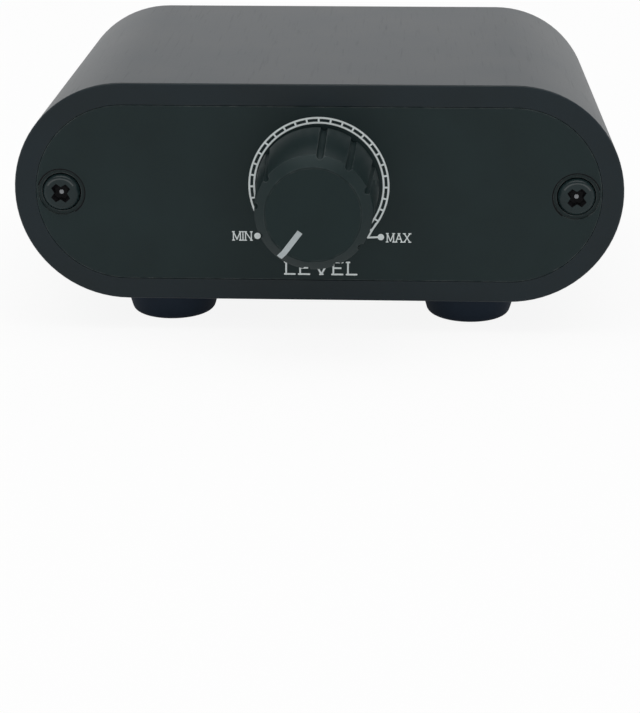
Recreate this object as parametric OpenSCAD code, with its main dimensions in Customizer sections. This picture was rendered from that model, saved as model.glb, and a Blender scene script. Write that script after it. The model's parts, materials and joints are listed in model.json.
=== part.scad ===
// Passive volume control box: a round-ended aluminium tube with two let-in end panels,
// a turning knob on the front and four phono sockets on the rear.
// Millimetres, +Z up, the front faces -Y. The origin lies on the ground under the whole object's middle.

/* [Case] */
// Width of the tube
case_w = 76; // [68:0.5:110]
// Height of the tube, which is also the diameter of its round ends
case_h = 27.8; // [25:0.2:36]
// Depth of the tube, from the front face to the rear face
case_d = 53.6; // [46:0.2:90]
// Wall of the tube
case_wall = 3.2; // [3:0.1:3.6]
// Wall that is left round each mouth, outside the panel
mouth_rim = 2.7; // [2:0.1:2.9]
// Chamfer on the ends of the tube
edge_break = 0.3; // [0.1:0.05:0.6]

/* [End panels] */
// Thickness of each panel
panel_t = 3; // [2.6:0.1:4]
// Gap between a panel and the mouth that it sits in
panel_gap = 0.1; // [0.05:0.05:0.3]

/* [Screws] */
// Distance of a screw from the side of the case
screw_inset = 5.9; // [5.6:0.1:6]
// Diameter of the screw's shank
screw_d = 2.5; // [2:0.1:3]
// Length of the shank under the head
screw_len = 8; // [5:0.5:12]
// Diameter of the pan head
head_d = 4.65; // [4:0.05:5.4]
// Height of the pan head
head_h = 1.7; // [1.2:0.1:2]
// Rounding of the head's edge
head_round = 0.75; // [0.4:0.05:1]
// Diameter of the shallow mouth of the head's counterbore
counterbore_d = 5.8; // [5.2:0.1:6]
// Depth of that mouth
head_mouth = 0.3; // [0.2:0.05:0.6]
// Gap between the head and the counterbore below the mouth
seat_gap = 0.12; // [0.08:0.02:0.2]
// Depth of the counterbore, which leaves the head a little proud of the panel
counterbore_h = 1.2; // [1:0.1:1.8]
// Diameter of the screw's boss in the tube
boss_d = 5.2; // [4.6:0.1:5.6]
// Width of the web between a boss and the wall
boss_web = 4; // [3:0.1:4.6]

/* [Feet] */
// Diameter of a foot where it meets the case
foot_top_d = 13; // [10:0.5:14]
// Diameter of a foot at the ground, before its edge is rounded
foot_bottom_d = 10.6; // [8:0.2:12]
// Height of a foot
foot_h = 4.2; // [3:0.1:8]
// Rounding of a foot's lower edge
foot_round = 0.8; // [0.3:0.1:1.5]
// Distance of each foot from the side of the case
foot_inset = 18.6; // [14:0.1:22]
// Distance of the front feet from the front face
foot_front_inset = 9.2; // [7:0.1:12]
// Distance of the rear feet from the rear face
foot_rear_inset = 7.9; // [7:0.1:12]
// Sideways shift of the rear pair, which is stuck on by hand
foot_rear_shift = 2.5; // [-3:0.1:3]
// How much further out each foot of the rear pair stands
foot_rear_spread = 0.6; // [0:0.1:1]

/* [Knob] */
// Diameter of the knob next to the panel
knob_base_d = 15.3; // [14.8:0.1:18]
// Diameter of the knob at its shoulder
knob_shoulder_d = 14.1; // [13.6:0.1:16]
// Diameter of the knob's flat face
knob_face_d = 11.7; // [10.5:0.1:13]
// Length of the knob
knob_h = 12.4; // [11.5:0.1:16]
// Length of the chamfer between shoulder and face
knob_chamfer = 1.1; // [0.5:0.1:1.6]
// Gap between the knob and the panel
knob_gap = 0.5; // [0.4:0.1:1.2]
// Width of a grip groove
groove_w = 0.9; // [0.6:0.02:1.2]
// Depth of a grip groove
groove_depth = 0.42; // [0.3:0.02:0.6]
// Grooves in each group
grooves_per_group = 3; // [1:1:3]
// Groups of grooves round the knob
groove_groups = 3; // [2:1:3]
// Angle between the grooves of a group
groove_step = 30; // [20:1:35]
// Distance of the fine ring from the edge of the face
ring_edge = 0.08; // [0.04:0.02:0.3]
// Width of the fine ring cut round the face
ring_w = 0.1; // [0.1:0.02:0.3]
// Depth of the fine ring
ring_depth = 0.1; // [0.06:0.02:0.3]
// Width of the pointer line
pointer_w = 0.7; // [0.5:0.05:1.2]
// Distance of the pointer's inner end from the axis
pointer_start = 2.6; // [2:0.1:4]
// Depth of the pointer line in the knob
pointer_depth = 0.35; // [0.25:0.05:0.5]
// Angle of the pointer from the top at rest, counterclockwise seen from the front
pointer_rest = 143.5; // [130:0.5:150]
// Gap between the nut's corners and the knob's skirt
nut_clear = 0.33; // [0.3:0.01:0.6]
// Gap between the bushing's end and the knob's hub
hub_clear = 1.4; // [0.4:0.1:2]
// Gap between the shaft's tip and the knob
tip_clear = 0.2; // [0.1:0.1:0.5]
// Thickness of the knob behind its face
knob_top = 1.6; // [1.2:0.1:2.4]
// Wall of the knob's hub round the shaft
hub_wall = 1.3; // [1:0.1:1.6]
// Width of the moulding relief round the hub
relief_w = 1.2; // [0.6:0.1:1.3]
// Plastic left behind the face above the moulding relief
relief_top = 2.6; // [2:0.1:4]

/* [Control] */
// Height of the knob and the sockets above the middle of the case
axis_rise = 1.1; // [0:0.1:2]
// Height of the knob and the sockets above the board
axis_over_board = 7; // [6.2:0.1:7.4]
// Diameter of the shaft
shaft_d = 6; // [5:0.1:6.2]
// Diameter of the shaft inside the gangs
core_d = 3.4; // [2.6:0.1:4]
// Depth of the flat on the shaft
shaft_flat = 1.5; // [1:0.1:1.8]
// Clearance of the shaft in its bearings, on the radius
shaft_clear = 0.05; // [0.02:0.01:0.09]
// Collar that keeps the shaft in the bushing, beyond its radius
collar_lip = 0.6; // [0.4:0.1:0.8]
// Thickness of the collar
collar_t = 0.5; // [0.3:0.1:0.6]
// Gap before and behind the collar
collar_gap = 0.3; // [0.3:0.05:0.5]
// Wall of the threaded bushing
bushing_wall = 0.45; // [0.4:0.05:0.7]
// Length of the bushing past the nut
bushing_end = 0.5; // [0.2:0.1:0.8]
// Metal of the control's front plate in front of the collar
plate_skin = 0.3; // [0.2:0.1:0.8]
// Thickness of the washer
washer_t = 0.5; // [0.3:0.1:0.8]
// Diameter of the washer
washer_d = 10.2; // [9:0.1:11]
// Thickness of the nut
nut_t = 2; // [1.5:0.1:2.2]
// Nut across its flats
nut_flats = 10; // [9:0.1:10.2]
// Width of the gangs
gang_w = 11.4; // [11:0.1:14]
// Height of the gangs above the axis
gang_rise = 5.6; // [5.4:0.1:7]
// Depth of one gang's housing
gang_d = 4; // [3.6:0.1:6]
// Front wall of a gang's housing
gang_wall = 0.8; // [0.6:0.1:1.2]
// Diameter of a gang's round chamber
chamber_d = 9.8; // [9:0.1:10.4]
// Thickness of a resistance track's plate
track_t = 1; // [0.8:0.1:1.6]
// Height of the track plates above the board
track_lift = 1.2; // [0.6:0.1:1.6]
// Gap between a wiper and its chamber, all round
wiper_gap = 0.4; // [0.3:0.05:0.6]
// Thickness of the clip round the gangs
clip_t = 0.8; // [0.5:0.1:1.2]
// Height of the clip's arms
clip_h = 6; // [4:0.5:8]
// Width of the clip's tabs in the board
tab_w = 1.6; // [1:0.1:2]
// Distance between the solder pins of one gang
pin_pitch = 2.5; // [2:0.1:3]
// Width of a solder pin
pin_w = 0.8; // [0.6:0.1:1]
// Thickness of a solder pin
pin_t = 0.4; // [0.3:0.1:0.6]

/* [Board] */
// Thickness of the board
board_t = 1.6; // [1.2:0.2:2]
// Gap between the board's edge and the tube
board_side_gap = 0.7; // [0.4:0.1:1.2]
// Gap between the board's ends and the panels
board_end_gap = 0.3; // [0.2:0.1:0.6]
// Width of the board's edge that lies in the slots
slot_grip = 1.5; // [1:0.1:2]
// Play of the board under the upper rail
slot_play = 0.1; // [0.05:0.05:0.2]
// Thickness of a rail beside the slot
rail_t = 1.2; // [0.8:0.1:1.4]
// Length of a solder tail under the board
tail_out = 1.2; // [0.8:0.1:1.4]
// Gap round a solder tail in its hole
tail_gap = 0.2; // [0.1:0.05:0.3]

/* [Sockets] */
// Metal left between an outer socket's hole and the counterbore beside it
socket_land = 0.1; // [0.1:0.1:2]
// Outer diameter of a socket's shell
shell_d = 8.36; // [8.2:0.02:8.5]
// How far a shell stands out of the rear panel
shell_reach = 5.3; // [4.6:0.1:8]
// Rounding of the shell's front edge
shell_round = 0.75; // [0.2:0.05:0.9]
// How much thinner the shell is inside the panel, on the radius
shell_step = 0.25; // [0.2:0.01:0.4]
// Where the shell becomes thinner, outside the panel
step_out = 0.2; // [0.1:0.05:0.4]
// How deep the shell sits in its housing
shell_seat = 3.5; // [2.5:0.1:4]
// Diameter of the coloured insert
insert_d = 6.2; // [5.8:0.05:6.6]
// How far the insert lies behind the shell's edge
insert_recess = 0.25; // [0.1:0.05:0.4]
// Diameter of the hole for a plug's pin
socket_d = 3.4; // [3.3:0.05:3.6]
// Length of that hole in the insert
socket_len = 9; // [6:0.1:10]
// How far the insert goes on behind the shell
insert_seat = 3; // [2:0.1:4]
// Wall of the centre contact
contact_wall = 0.45; // [0.3:0.05:0.6]
// Inner diameter of the contact, whose leaves spring open round a plug's pin
contact_bore = 3; // [2.8:0.05:3.05]
// Width of the slits between the contact's leaves
slit_w = 0.5; // [0.3:0.05:0.7]
// Room round the contact's leaves
leaf_room = 0.1; // [0.05:0.05:0.2]
// Thickness of the contact's closed end
contact_base = 1; // [0.6:0.1:1.5]
// Diameter of the contact's rod
contact_rod = 1.4; // [1:0.1:1.8]
// Gap between a shell and its hole in the rear panel
hole_gap = 0.47; // [0.3:0.01:0.6]
// Chamfer round that hole
hole_chamfer = 0.45; // [0.2:0.05:0.6]
// Width of a socket's housing
housing_w = 9.6; // [9:0.1:10.2]
// Depth of a socket's housing
housing_d = 10; // [8:0.1:12]
// Height of a socket's housing above the axis
housing_rise = 5.2; // [5:0.1:6]
// Width of a socket's earth tail
earth_w = 2; // [1.2:0.1:2.4]
// Thickness of the sockets' tails
tail_t = 0.6; // [0.4:0.1:0.8]
// Gap between a housing and its contact's tail
tail_back = 0.4; // [0.3:0.1:0.8]

/* [Hidden] */

$fn = 64;
// Overshoot of cuts
over = 1;
// Clearance between pieces that are pushed together
snug = 0.02;
// Clearance of a screw or a thread in its hole, on the radius
thread_gap = 0.05;
// Clearance of the screw's shank and of the bushing in a panel, on the radius
pass_gap = 0.2;

// Places in the whole object
knob_reach = knob_gap + knob_h;
case_y = (knob_reach - shell_reach) / 2;
front_y = case_y - case_d / 2;
rear_y = case_y + case_d / 2;
mid_z = foot_h + case_h / 2;
axis_z = mid_z + axis_rise;
board_z = axis_z - axis_over_board - board_t;

// Tube and panels
cavity_w = case_w - 2 * case_wall;
cavity_h = case_h - 2 * case_wall;
mouth_w = case_w - 2 * mouth_rim;
mouth_h = case_h - 2 * mouth_rim;
screw_x = case_w / 2 - screw_inset;
screw_reach = screw_len - (panel_t - counterbore_h);
foot_x = case_w / 2 - foot_inset;
rear_foot_x = foot_x + foot_rear_spread;
// Steps of a foot's rounded edge
round_steps = 6;

// Half width of the tube's cavity at a height over its middle
function cavity_half(z) = (cavity_w - cavity_h) / 2 + sqrt(pow(cavity_h / 2, 2) - z * z);
board_half = cavity_half(board_z - mid_z) - board_side_gap;
board_d = case_d - 2 * panel_t - 2 * board_end_gap;

// Knob, measured along its axis from the front panel's face
bushing_tip = washer_t + nut_t + bushing_end;
taper = atan((knob_base_d - knob_shoulder_d) / 2 / (knob_h - knob_chamfer));
skirt_r = nut_flats / 2 / cos(30) + nut_clear;
skirt_top = bushing_tip + hub_clear;
hub_r = shaft_d / 2 + hub_wall;
shaft_tip = knob_reach - knob_top - tip_clear;
pointer_end = knob_shoulder_d / 2 - pointer_depth / 2;
group_angle = 360 / groove_groups;
middle_groove = (grooves_per_group - 1) / 2;

// Control, measured along the same axis, with the inside negative
plate_t = plate_skin + collar_t + 2 * collar_gap;
plate_back = -panel_t - plate_t;
gang_pitch = gang_d + track_t;
clip_back = plate_back - 2 * gang_pitch;
bushing_r = shaft_d / 2 + shaft_clear + bushing_wall;
collar_r = shaft_d / 2 + collar_lip;
track_base = axis_over_board - track_lift;
core_r = core_d / 2;
nut_hole_r = bushing_r + thread_gap;

// Sockets, measured out from the rear panel's face
shell_r = shell_d / 2;
shell_base_r = shell_r - shell_step;
shell_back = -panel_t - shell_seat;
insert_back = shell_back - insert_seat;
hole_r = shell_r + hole_gap;
insert_front = shell_reach - insert_recess;
contact_front = insert_front - socket_len;
contact_r = contact_bore / 2 + contact_wall;
tail_end = axis_over_board + board_t + tail_out;
tail_z = -panel_t - housing_d - tail_back;
SOCKETS = ["in_right", "in_left", "out_right", "out_left"];
outer_socket_x = screw_x - counterbore_d / 2 - socket_land - hole_chamfer - hole_r;
function socket_x(i) = outer_socket_x * (1 - 2 * i / (len(SOCKETS) - 1));

// Colours
BLACK_METAL = [0.16, 0.17, 0.18];
BLACK_PLASTIC = [0.12, 0.12, 0.13];
RUBBER = [0.08, 0.08, 0.09];
WHITE = [0.85, 0.85, 0.83];
RED = [0.6, 0.14, 0.15];
GILT = [0.83, 0.7, 0.42];
STEEL = [0.7, 0.71, 0.72];
BOARD_GREEN = [0.1, 0.32, 0.17];
TRACK_BROWN = [0.35, 0.22, 0.12];

// Round-ended outline
module stadium(w, h) {
    square([w - h, h], center = true);
    for (side = [-1, 1])
        translate([side * (w - h) / 2, 0]) circle(d = h);
}

// An outline in X and Z, drawn out along Y
module along_y(y, d) {
    translate([0, y + d, mid_z]) rotate([90, 0, 0]) linear_extrude(d) children();
}

// Round-ended bar along Y with a chamfer on both ends
module chamfered_bar(w, h, d, c) {
    half = [[0, 0], [h / 2 - c, 0], [h / 2, c], [h / 2, d - c], [h / 2 - c, d], [0, d]];
    full = concat(half, [for (i = [len(half) - 2 : -1 : 1]) [-half[i][0], half[i][1]]]);
    for (side = [0, 180])
        rotate([0, side, 0])
            translate([(w - h) / 2, 0, 0])
                rotate([-90, 0, 0]) rotate_extrude() polygon(half);
    translate([-(w - h) / 2, 0, 0]) rotate([90, 0, 90]) linear_extrude(w - h)
        polygon([for (p = full) [p[1], p[0]]]);
}

// Frame with its origin where the knob's axis meets the front face, +Z out towards the viewer, +Y up
module on_axis() {
    translate([0, front_y, axis_z]) rotate([90, 0, 0]) children();
}

// Frame of one socket on the rear face, +Z out of the panel, +Y down
module on_socket(i) {
    translate([socket_x(i), rear_y, axis_z]) rotate([-90, 0, 0]) children();
}

// Frame of the screws of one end: +Z out of the panel
module on_screws(rear) {
    for (side = [-1, 1])
        translate([side * screw_x, rear ? rear_y : front_y, mid_z])
            rotate([rear ? -90 : 90, 0, 0]) children();
}

// Bosses and rails that the tube carries along its whole length
module inner_profile() {
    for (side = [0, 1]) mirror([side, 0]) {
        translate([screw_x, 0]) circle(d = boss_d);
        translate([screw_x, -boss_web / 2]) square([screw_inset - case_wall / 2, boss_web]);
        for (z = [board_z - rail_t - mid_z, board_z + board_t + slot_play - mid_z]) {
            rail_in = board_half - slot_grip;
            translate([rail_in, z])
                square([cavity_half(z + rail_t) + case_wall / 2 - rail_in, rail_t]);
        }
    }
}

module case_shell() {
    color(BLACK_METAL) difference() {
        union() {
            difference() {
                translate([0, front_y, mid_z]) chamfered_bar(case_w, case_h, case_d, edge_break);
                along_y(front_y - over, case_d + 2 * over) stadium(cavity_w, cavity_h);
            }
            along_y(front_y + panel_t, case_d - 2 * panel_t) inner_profile();
        }
        for (y = [front_y - over, rear_y - panel_t])
            along_y(y, panel_t + over) stadium(mouth_w, mouth_h);
        for (rear = [false, true])
            on_screws(rear) translate([0, 0, -panel_t - screw_reach - over])
                cylinder(d = screw_d + 2 * thread_gap, h = screw_reach + 2 * over);
    }
}

// A panel without its own holes, with the counterbores for its screws
module panel_blank(rear) {
    difference() {
        along_y(rear ? rear_y - panel_t : front_y, panel_t)
            stadium(mouth_w - 2 * panel_gap, mouth_h - 2 * panel_gap);
        on_screws(rear) {
            translate([0, 0, -head_mouth]) cylinder(d = counterbore_d, h = head_mouth + over);
            translate([0, 0, -counterbore_h]) cylinder(d = head_d + 2 * seat_gap, h = counterbore_h + over);
            translate([0, 0, -panel_t - over]) cylinder(d = screw_d + 2 * pass_gap, h = panel_t + 2 * over);
        }
    }
}

module front_panel() {
    color(BLACK_METAL) difference() {
        panel_blank(false);
        on_axis() translate([0, 0, -panel_t - over])
            cylinder(r = bushing_r + pass_gap, h = panel_t + 2 * over);
    }
}

module rear_panel() {
    color(BLACK_METAL) difference() {
        panel_blank(true);
        for (i = [0 : len(SOCKETS) - 1]) on_socket(i) {
            translate([0, 0, -panel_t - over]) cylinder(r = hole_r, h = panel_t + 2 * over);
            translate([0, 0, -hole_chamfer])
                cylinder(r1 = hole_r, r2 = hole_r + hole_chamfer + over, h = hole_chamfer + over);
        }
    }
}

// Pan head screw, its head seated at z = 0
module pan_screw() {
    rotate_extrude() difference() {
        union() {
            translate([0, -screw_len]) square([screw_d / 2, screw_len + head_h / 2]);
            square([head_d / 2, head_h - head_round]);
            translate([0, head_h - head_round]) square([head_d / 2 - head_round, head_round]);
            translate([head_d / 2 - head_round, head_h - head_round]) circle(r = head_round);
        }
        translate([-head_d, -screw_len - over]) square([head_d, screw_len + head_h + 2 * over]);
    }
}

module screws(rear) {
    color(BLACK_METAL) on_screws(rear) translate([0, 0, -counterbore_h]) pan_screw();
}

module front_screws() { screws(false); }
module rear_screws() { screws(true); }

// Tapered rubber foot with a rounded lower edge, its top at z = foot_h
module foot(x, y) {
    lean = atan((foot_top_d - foot_bottom_d) / 2 / foot_h);
    round_r = foot_bottom_d / 2 - foot_round * (1 - sin(lean)) / cos(lean);
    round_edge = [
        for (i = [0 : round_steps]) let (a = (90 - lean) * i / round_steps - 90)
            [round_r + foot_round * cos(a), foot_round * (1 + sin(a))]
    ];
    color(RUBBER) translate([x, y, 0]) rotate_extrude()
        polygon(concat([[0, 0]], round_edge, [[foot_top_d / 2, foot_h], [0, foot_h]]));
}

module foot_front_left() { foot(-foot_x, front_y + foot_front_inset); }
module foot_front_right() { foot(foot_x, front_y + foot_front_inset); }
module foot_rear_left() { foot(foot_rear_shift - rear_foot_x, rear_y - foot_rear_inset); }
module foot_rear_right() { foot(foot_rear_shift + rear_foot_x, rear_y - foot_rear_inset); }

// Outline of the knob's outside, from its base to its face, with the fine ring round the face
module knob_outline() {
    face_r = knob_face_d / 2;
    ring_r = face_r - ring_edge;
    polygon([
        [0, knob_gap], [knob_base_d / 2, knob_gap], [knob_shoulder_d / 2, knob_reach - knob_chamfer],
        [face_r, knob_reach], [ring_r, knob_reach], [ring_r, knob_reach - ring_depth],
        [ring_r - ring_w, knob_reach - ring_depth], [ring_r - ring_w, knob_reach], [0, knob_reach]
    ]);
}

// Bore of the knob with its flat, or the flatted shaft itself
module flatted(d, flat, h) {
    difference() {
        cylinder(d = d, h = h);
        translate([-d, d / 2 - flat, -over]) cube([2 * d, d, h + 2 * over]);
    }
}

// Strip along the knob's face and chamfer, or its slot, which is left open by a rise above them
module pointer_strip(rise = 0) {
    face_r = knob_face_d / 2;
    slope = knob_chamfer / (knob_shoulder_d / 2 - face_r);
    end_z = knob_reach - slope * (pointer_end - face_r);
    translate([-pointer_w / 2, 0, 0]) rotate([90, 0, 90]) linear_extrude(pointer_w) polygon([
        [pointer_start, knob_reach - pointer_depth], [pointer_start, knob_reach + rise],
        [face_r, knob_reach + rise], [pointer_end, end_z + rise], [pointer_end, end_z - pointer_depth],
        [face_r, knob_reach - pointer_depth]
    ]);
}

// One grip groove, run out through the base and the chamfer
module groove() {
    translate([0, knob_base_d / 2 - groove_depth + groove_w / 2, knob_gap]) rotate([taper, 0, 0])
        translate([0, 0, -over]) cylinder(d = groove_w, h = knob_h + 2 * over);
}

module knob() {
    color(BLACK_PLASTIC) on_axis() rotate([0, 0, pointer_rest]) difference() {
        rotate_extrude() knob_outline();
        cylinder(r = skirt_r, h = skirt_top);
        difference() {
            cylinder(r = hub_r + relief_w, h = knob_reach - relief_top);
            cylinder(r = hub_r, h = knob_reach);
        }
        flatted(shaft_d + 2 * snug, shaft_flat, knob_reach - knob_top);
        for (group = [0 : groove_groups - 1], k = [0 : grooves_per_group - 1])
            rotate([0, 0, group_angle * (group + 0.5) + groove_step * (k - middle_groove)]) groove();
        pointer_strip(over);
    }
}

module knob_pointer() {
    color(WHITE) on_axis() rotate([0, 0, pointer_rest]) pointer_strip();
}

module pot_shaft() {
    shoulder = plate_back + collar_gap;
    color(STEEL) on_axis() rotate([0, 0, pointer_rest]) {
        translate([0, 0, shoulder]) cylinder(d = shaft_d, h = skirt_top - shoulder);
        translate([0, 0, shoulder]) cylinder(r = collar_r, h = collar_t);
        translate([0, 0, skirt_top - over]) flatted(shaft_d, shaft_flat, shaft_tip - skirt_top + over);
        translate([0, 0, clip_back + wiper_gap]) cylinder(r = core_r, h = shoulder - clip_back);
    }
}

module pot_bushing() {
    plate_w = gang_w + 2 * clip_t;
    color(STEEL) on_axis() difference() {
        union() {
            translate([0, 0, -panel_t - over]) cylinder(r = bushing_r, h = panel_t + over + bushing_tip);
            translate([-plate_w / 2, -axis_over_board, plate_back])
                cube([plate_w, axis_over_board + gang_rise, plate_t]);
        }
        translate([0, 0, plate_back - over])
            cylinder(r = shaft_d / 2 + shaft_clear, h = plate_t + panel_t + bushing_tip + 2 * over);
        translate([0, 0, plate_back - over])
            cylinder(r = collar_r + collar_gap, h = over + collar_t + 2 * collar_gap);
    }
}

module pot_washer() {
    color(STEEL) on_axis() difference() {
        cylinder(d = washer_d, h = washer_t);
        translate([0, 0, -over]) cylinder(r = nut_hole_r, h = washer_t + 2 * over);
    }
}

module pot_nut() {
    color(STEEL) on_axis() translate([0, 0, washer_t]) difference() {
        cylinder(d = nut_flats / cos(30), h = nut_t, $fn = 6);
        translate([0, 0, -over]) cylinder(r = nut_hole_r, h = nut_t + 2 * over);
    }
}

// Front of gang 0 or 1, along the axis
function gang_front(i) = plate_back - i * gang_pitch;

module pot_housing(i) {
    color(BLACK_PLASTIC) on_axis() translate([0, 0, gang_front(i) - gang_d]) difference() {
        translate([-gang_w / 2, -axis_over_board, 0]) cube([gang_w, axis_over_board + gang_rise, gang_d]);
        translate([0, 0, -over]) cylinder(d = chamber_d, h = gang_d - gang_wall + over);
        translate([0, 0, -over]) cylinder(r = core_r + shaft_clear, h = gang_d + 2 * over);
    }
}

module pot_housing_front() { pot_housing(0); }
module pot_housing_rear() { pot_housing(1); }

module pot_track(i) {
    color(TRACK_BROWN) on_axis() translate([0, 0, gang_front(i) - gang_pitch]) difference() {
        translate([-gang_w / 2, -track_base, 0]) cube([gang_w, track_base + gang_rise, track_t]);
        translate([0, 0, -over]) cylinder(r = core_r + wiper_gap, h = track_t + 2 * over);
    }
}

module pot_track_front() { pot_track(0); }
module pot_track_rear() { pot_track(1); }

module pot_wiper(i) {
    color(WHITE) on_axis() translate([0, 0, gang_front(i) - gang_d + wiper_gap]) difference() {
        cylinder(r = chamber_d / 2 - wiper_gap, h = gang_d - gang_wall - 2 * wiper_gap);
        translate([0, 0, -over]) cylinder(r = core_r + snug, h = gang_d + over);
    }
}

module pot_wiper_front() { pot_wiper(0); }
module pot_wiper_rear() { pot_wiper(1); }

// Clip across the back of the gangs, with an arm along each side and a tab into the board
module pot_frame() {
    tab_z = clip_back + gang_pitch - tab_w / 2;
    color(STEEL) on_axis() {
        translate([-gang_w / 2 - clip_t, -clip_h / 2, clip_back - clip_t])
            cube([gang_w + 2 * clip_t, clip_h, clip_t]);
        for (side = [0, 1]) mirror([side, 0, 0]) {
            translate([gang_w / 2, -clip_h / 2, clip_back - clip_t / 2])
                cube([clip_t, clip_h, 2 * gang_pitch + clip_t / 2]);
            translate([gang_w / 2, -tail_end, tab_z]) cube([clip_t, tail_end, tab_w]);
        }
    }
}

// Places of the six solder pins: across the axis, and along it
function pin_place(i, k) = [(k - 1) * pin_pitch, gang_front(i) - gang_pitch + track_t / 2];

module pot_terminals() {
    color(STEEL) on_axis() for (i = [0, 1], k = [0 : 2])
        translate([pin_place(i, k)[0] - pin_w / 2, -tail_end, pin_place(i, k)[1] - pin_t / 2])
            cube([pin_w, tail_end - track_base, pin_t]);
}

module main_board() {
    tab_y = front_y - clip_back - gang_pitch;
    color(BOARD_GREEN) difference() {
        translate([-board_half, front_y + panel_t + board_end_gap, board_z])
            cube([2 * board_half, board_d, board_t]);
        for (i = [0, 1], k = [0 : 2])
            translate([pin_place(i, k)[0], front_y - pin_place(i, k)[1], board_z - over])
                cylinder(d = norm([pin_w, pin_t]) + 2 * tail_gap, h = board_t + 2 * over);
        for (side = [0, 1]) mirror([side, 0, 0])
            translate([gang_w / 2 - tail_gap, tab_y - tab_w / 2 - tail_gap, board_z - over])
                cube([clip_t + 2 * tail_gap, tab_w + 2 * tail_gap, board_t + 2 * over]);
        for (i = [0 : len(SOCKETS) - 1], z = [shell_back, tail_z - tail_t])
            translate([socket_x(i) - earth_w / 2 - tail_gap, rear_y + z - tail_gap, board_z - over])
                cube([earth_w + 2 * tail_gap, tail_t + 2 * tail_gap, board_t + 2 * over]);
    }
}

module socket_housing(i) {
    color(BLACK_PLASTIC) on_socket(i) difference() {
        translate([-housing_w / 2, -housing_rise, -panel_t - housing_d])
            cube([housing_w, housing_rise + axis_over_board, housing_d]);
        translate([0, 0, shell_back - snug]) cylinder(r = shell_base_r + snug, h = shell_seat + snug + over);
        translate([0, 0, insert_back - snug]) cylinder(d = insert_d, h = insert_seat + 2 * over);
        translate([0, 0, -panel_t - housing_d - over])
            cylinder(d = contact_rod + 2 * pass_gap, h = housing_d);
        translate([-earth_w / 2 - snug, 0, shell_back - snug])
            cube([earth_w + 2 * snug, axis_over_board + over, tail_t + 2 * snug]);
    }
}

// Gilt shell: a barrel with a rounded front edge and an earth tail down into the board
module socket_shell(i) {
    color(GILT) on_socket(i) difference() {
        union() {
            translate([0, 0, shell_back]) cylinder(r = shell_base_r, h = step_out - shell_back);
            translate([0, 0, step_out]) cylinder(r = shell_r, h = shell_reach - shell_round - step_out);
            rotate_extrude() translate([shell_r - shell_round, shell_reach - shell_round]) intersection() {
                circle(r = shell_round);
                square(shell_round);
            }
            translate([0, 0, shell_reach - shell_round - over])
                cylinder(r = shell_r - shell_round, h = shell_round + over);
            translate([-earth_w / 2, 0, shell_back]) cube([earth_w, tail_end, tail_t]);
        }
        translate([0, 0, shell_back - over]) cylinder(d = insert_d, h = shell_reach - shell_back + 2 * over);
    }
}

module socket_insert(i, tint) {
    color(tint) on_socket(i) difference() {
        translate([0, 0, insert_back]) cylinder(d = insert_d - 2 * snug, h = insert_front - insert_back);
        translate([0, 0, insert_back - over]) {
            cylinder(d = socket_d, h = insert_front - insert_back + 2 * over);
            cylinder(r = contact_r + leaf_room, h = contact_front - insert_back + over);
        }
    }
}

// Centre contact: a slit tube for the plug's pin, with a rod through the housing and a tail into the board
module socket_contact(i) {
    tube_len = contact_front - insert_back;
    color(GILT) on_socket(i) {
        translate([0, 0, insert_back]) difference() {
            cylinder(r = contact_r, h = tube_len);
            translate([0, 0, contact_base]) cylinder(d = contact_bore, h = tube_len);
            for (turn = [0, 90]) rotate([0, 0, turn])
                translate([-contact_r - over, -slit_w / 2, contact_base])
                    cube([2 * (contact_r + over), slit_w, tube_len]);
        }
        translate([0, 0, tail_z - tail_t])
            cylinder(d = contact_rod, h = insert_back + contact_base / 2 - tail_z + tail_t);
        translate([-contact_rod / 2, 0, tail_z - tail_t]) cube([contact_rod, tail_end, tail_t]);
    }
}

case_shell();
front_panel();
rear_panel();
front_screws();
rear_screws();
foot_front_left();
foot_front_right();
foot_rear_left();
foot_rear_right();
knob();
knob_pointer();
pot_shaft();
pot_bushing();
pot_washer();
pot_nut();
pot_housing_front();
pot_housing_rear();
pot_track_front();
pot_track_rear();
pot_wiper_front();
pot_wiper_rear();
pot_frame();
pot_terminals();
main_board();
for (i = [0 : len(SOCKETS) - 1]) {
    socket_housing(i);
    socket_shell(i);
    socket_insert(i, i % 2 == 0 ? RED : WHITE);
    socket_contact(i);
}
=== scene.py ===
"""Looks of a passive volume control box: a satin black tube case with drilled end panels, a grooved
dial knob with a white line, rubber feet, gilt sockets with red and white cores, and pale markings."""

import json
import math

import bmesh
import bpy
from bpy.props import FloatProperty, FloatVectorProperty, IntProperty, PointerProperty
from mathutils import Matrix, Vector


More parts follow.
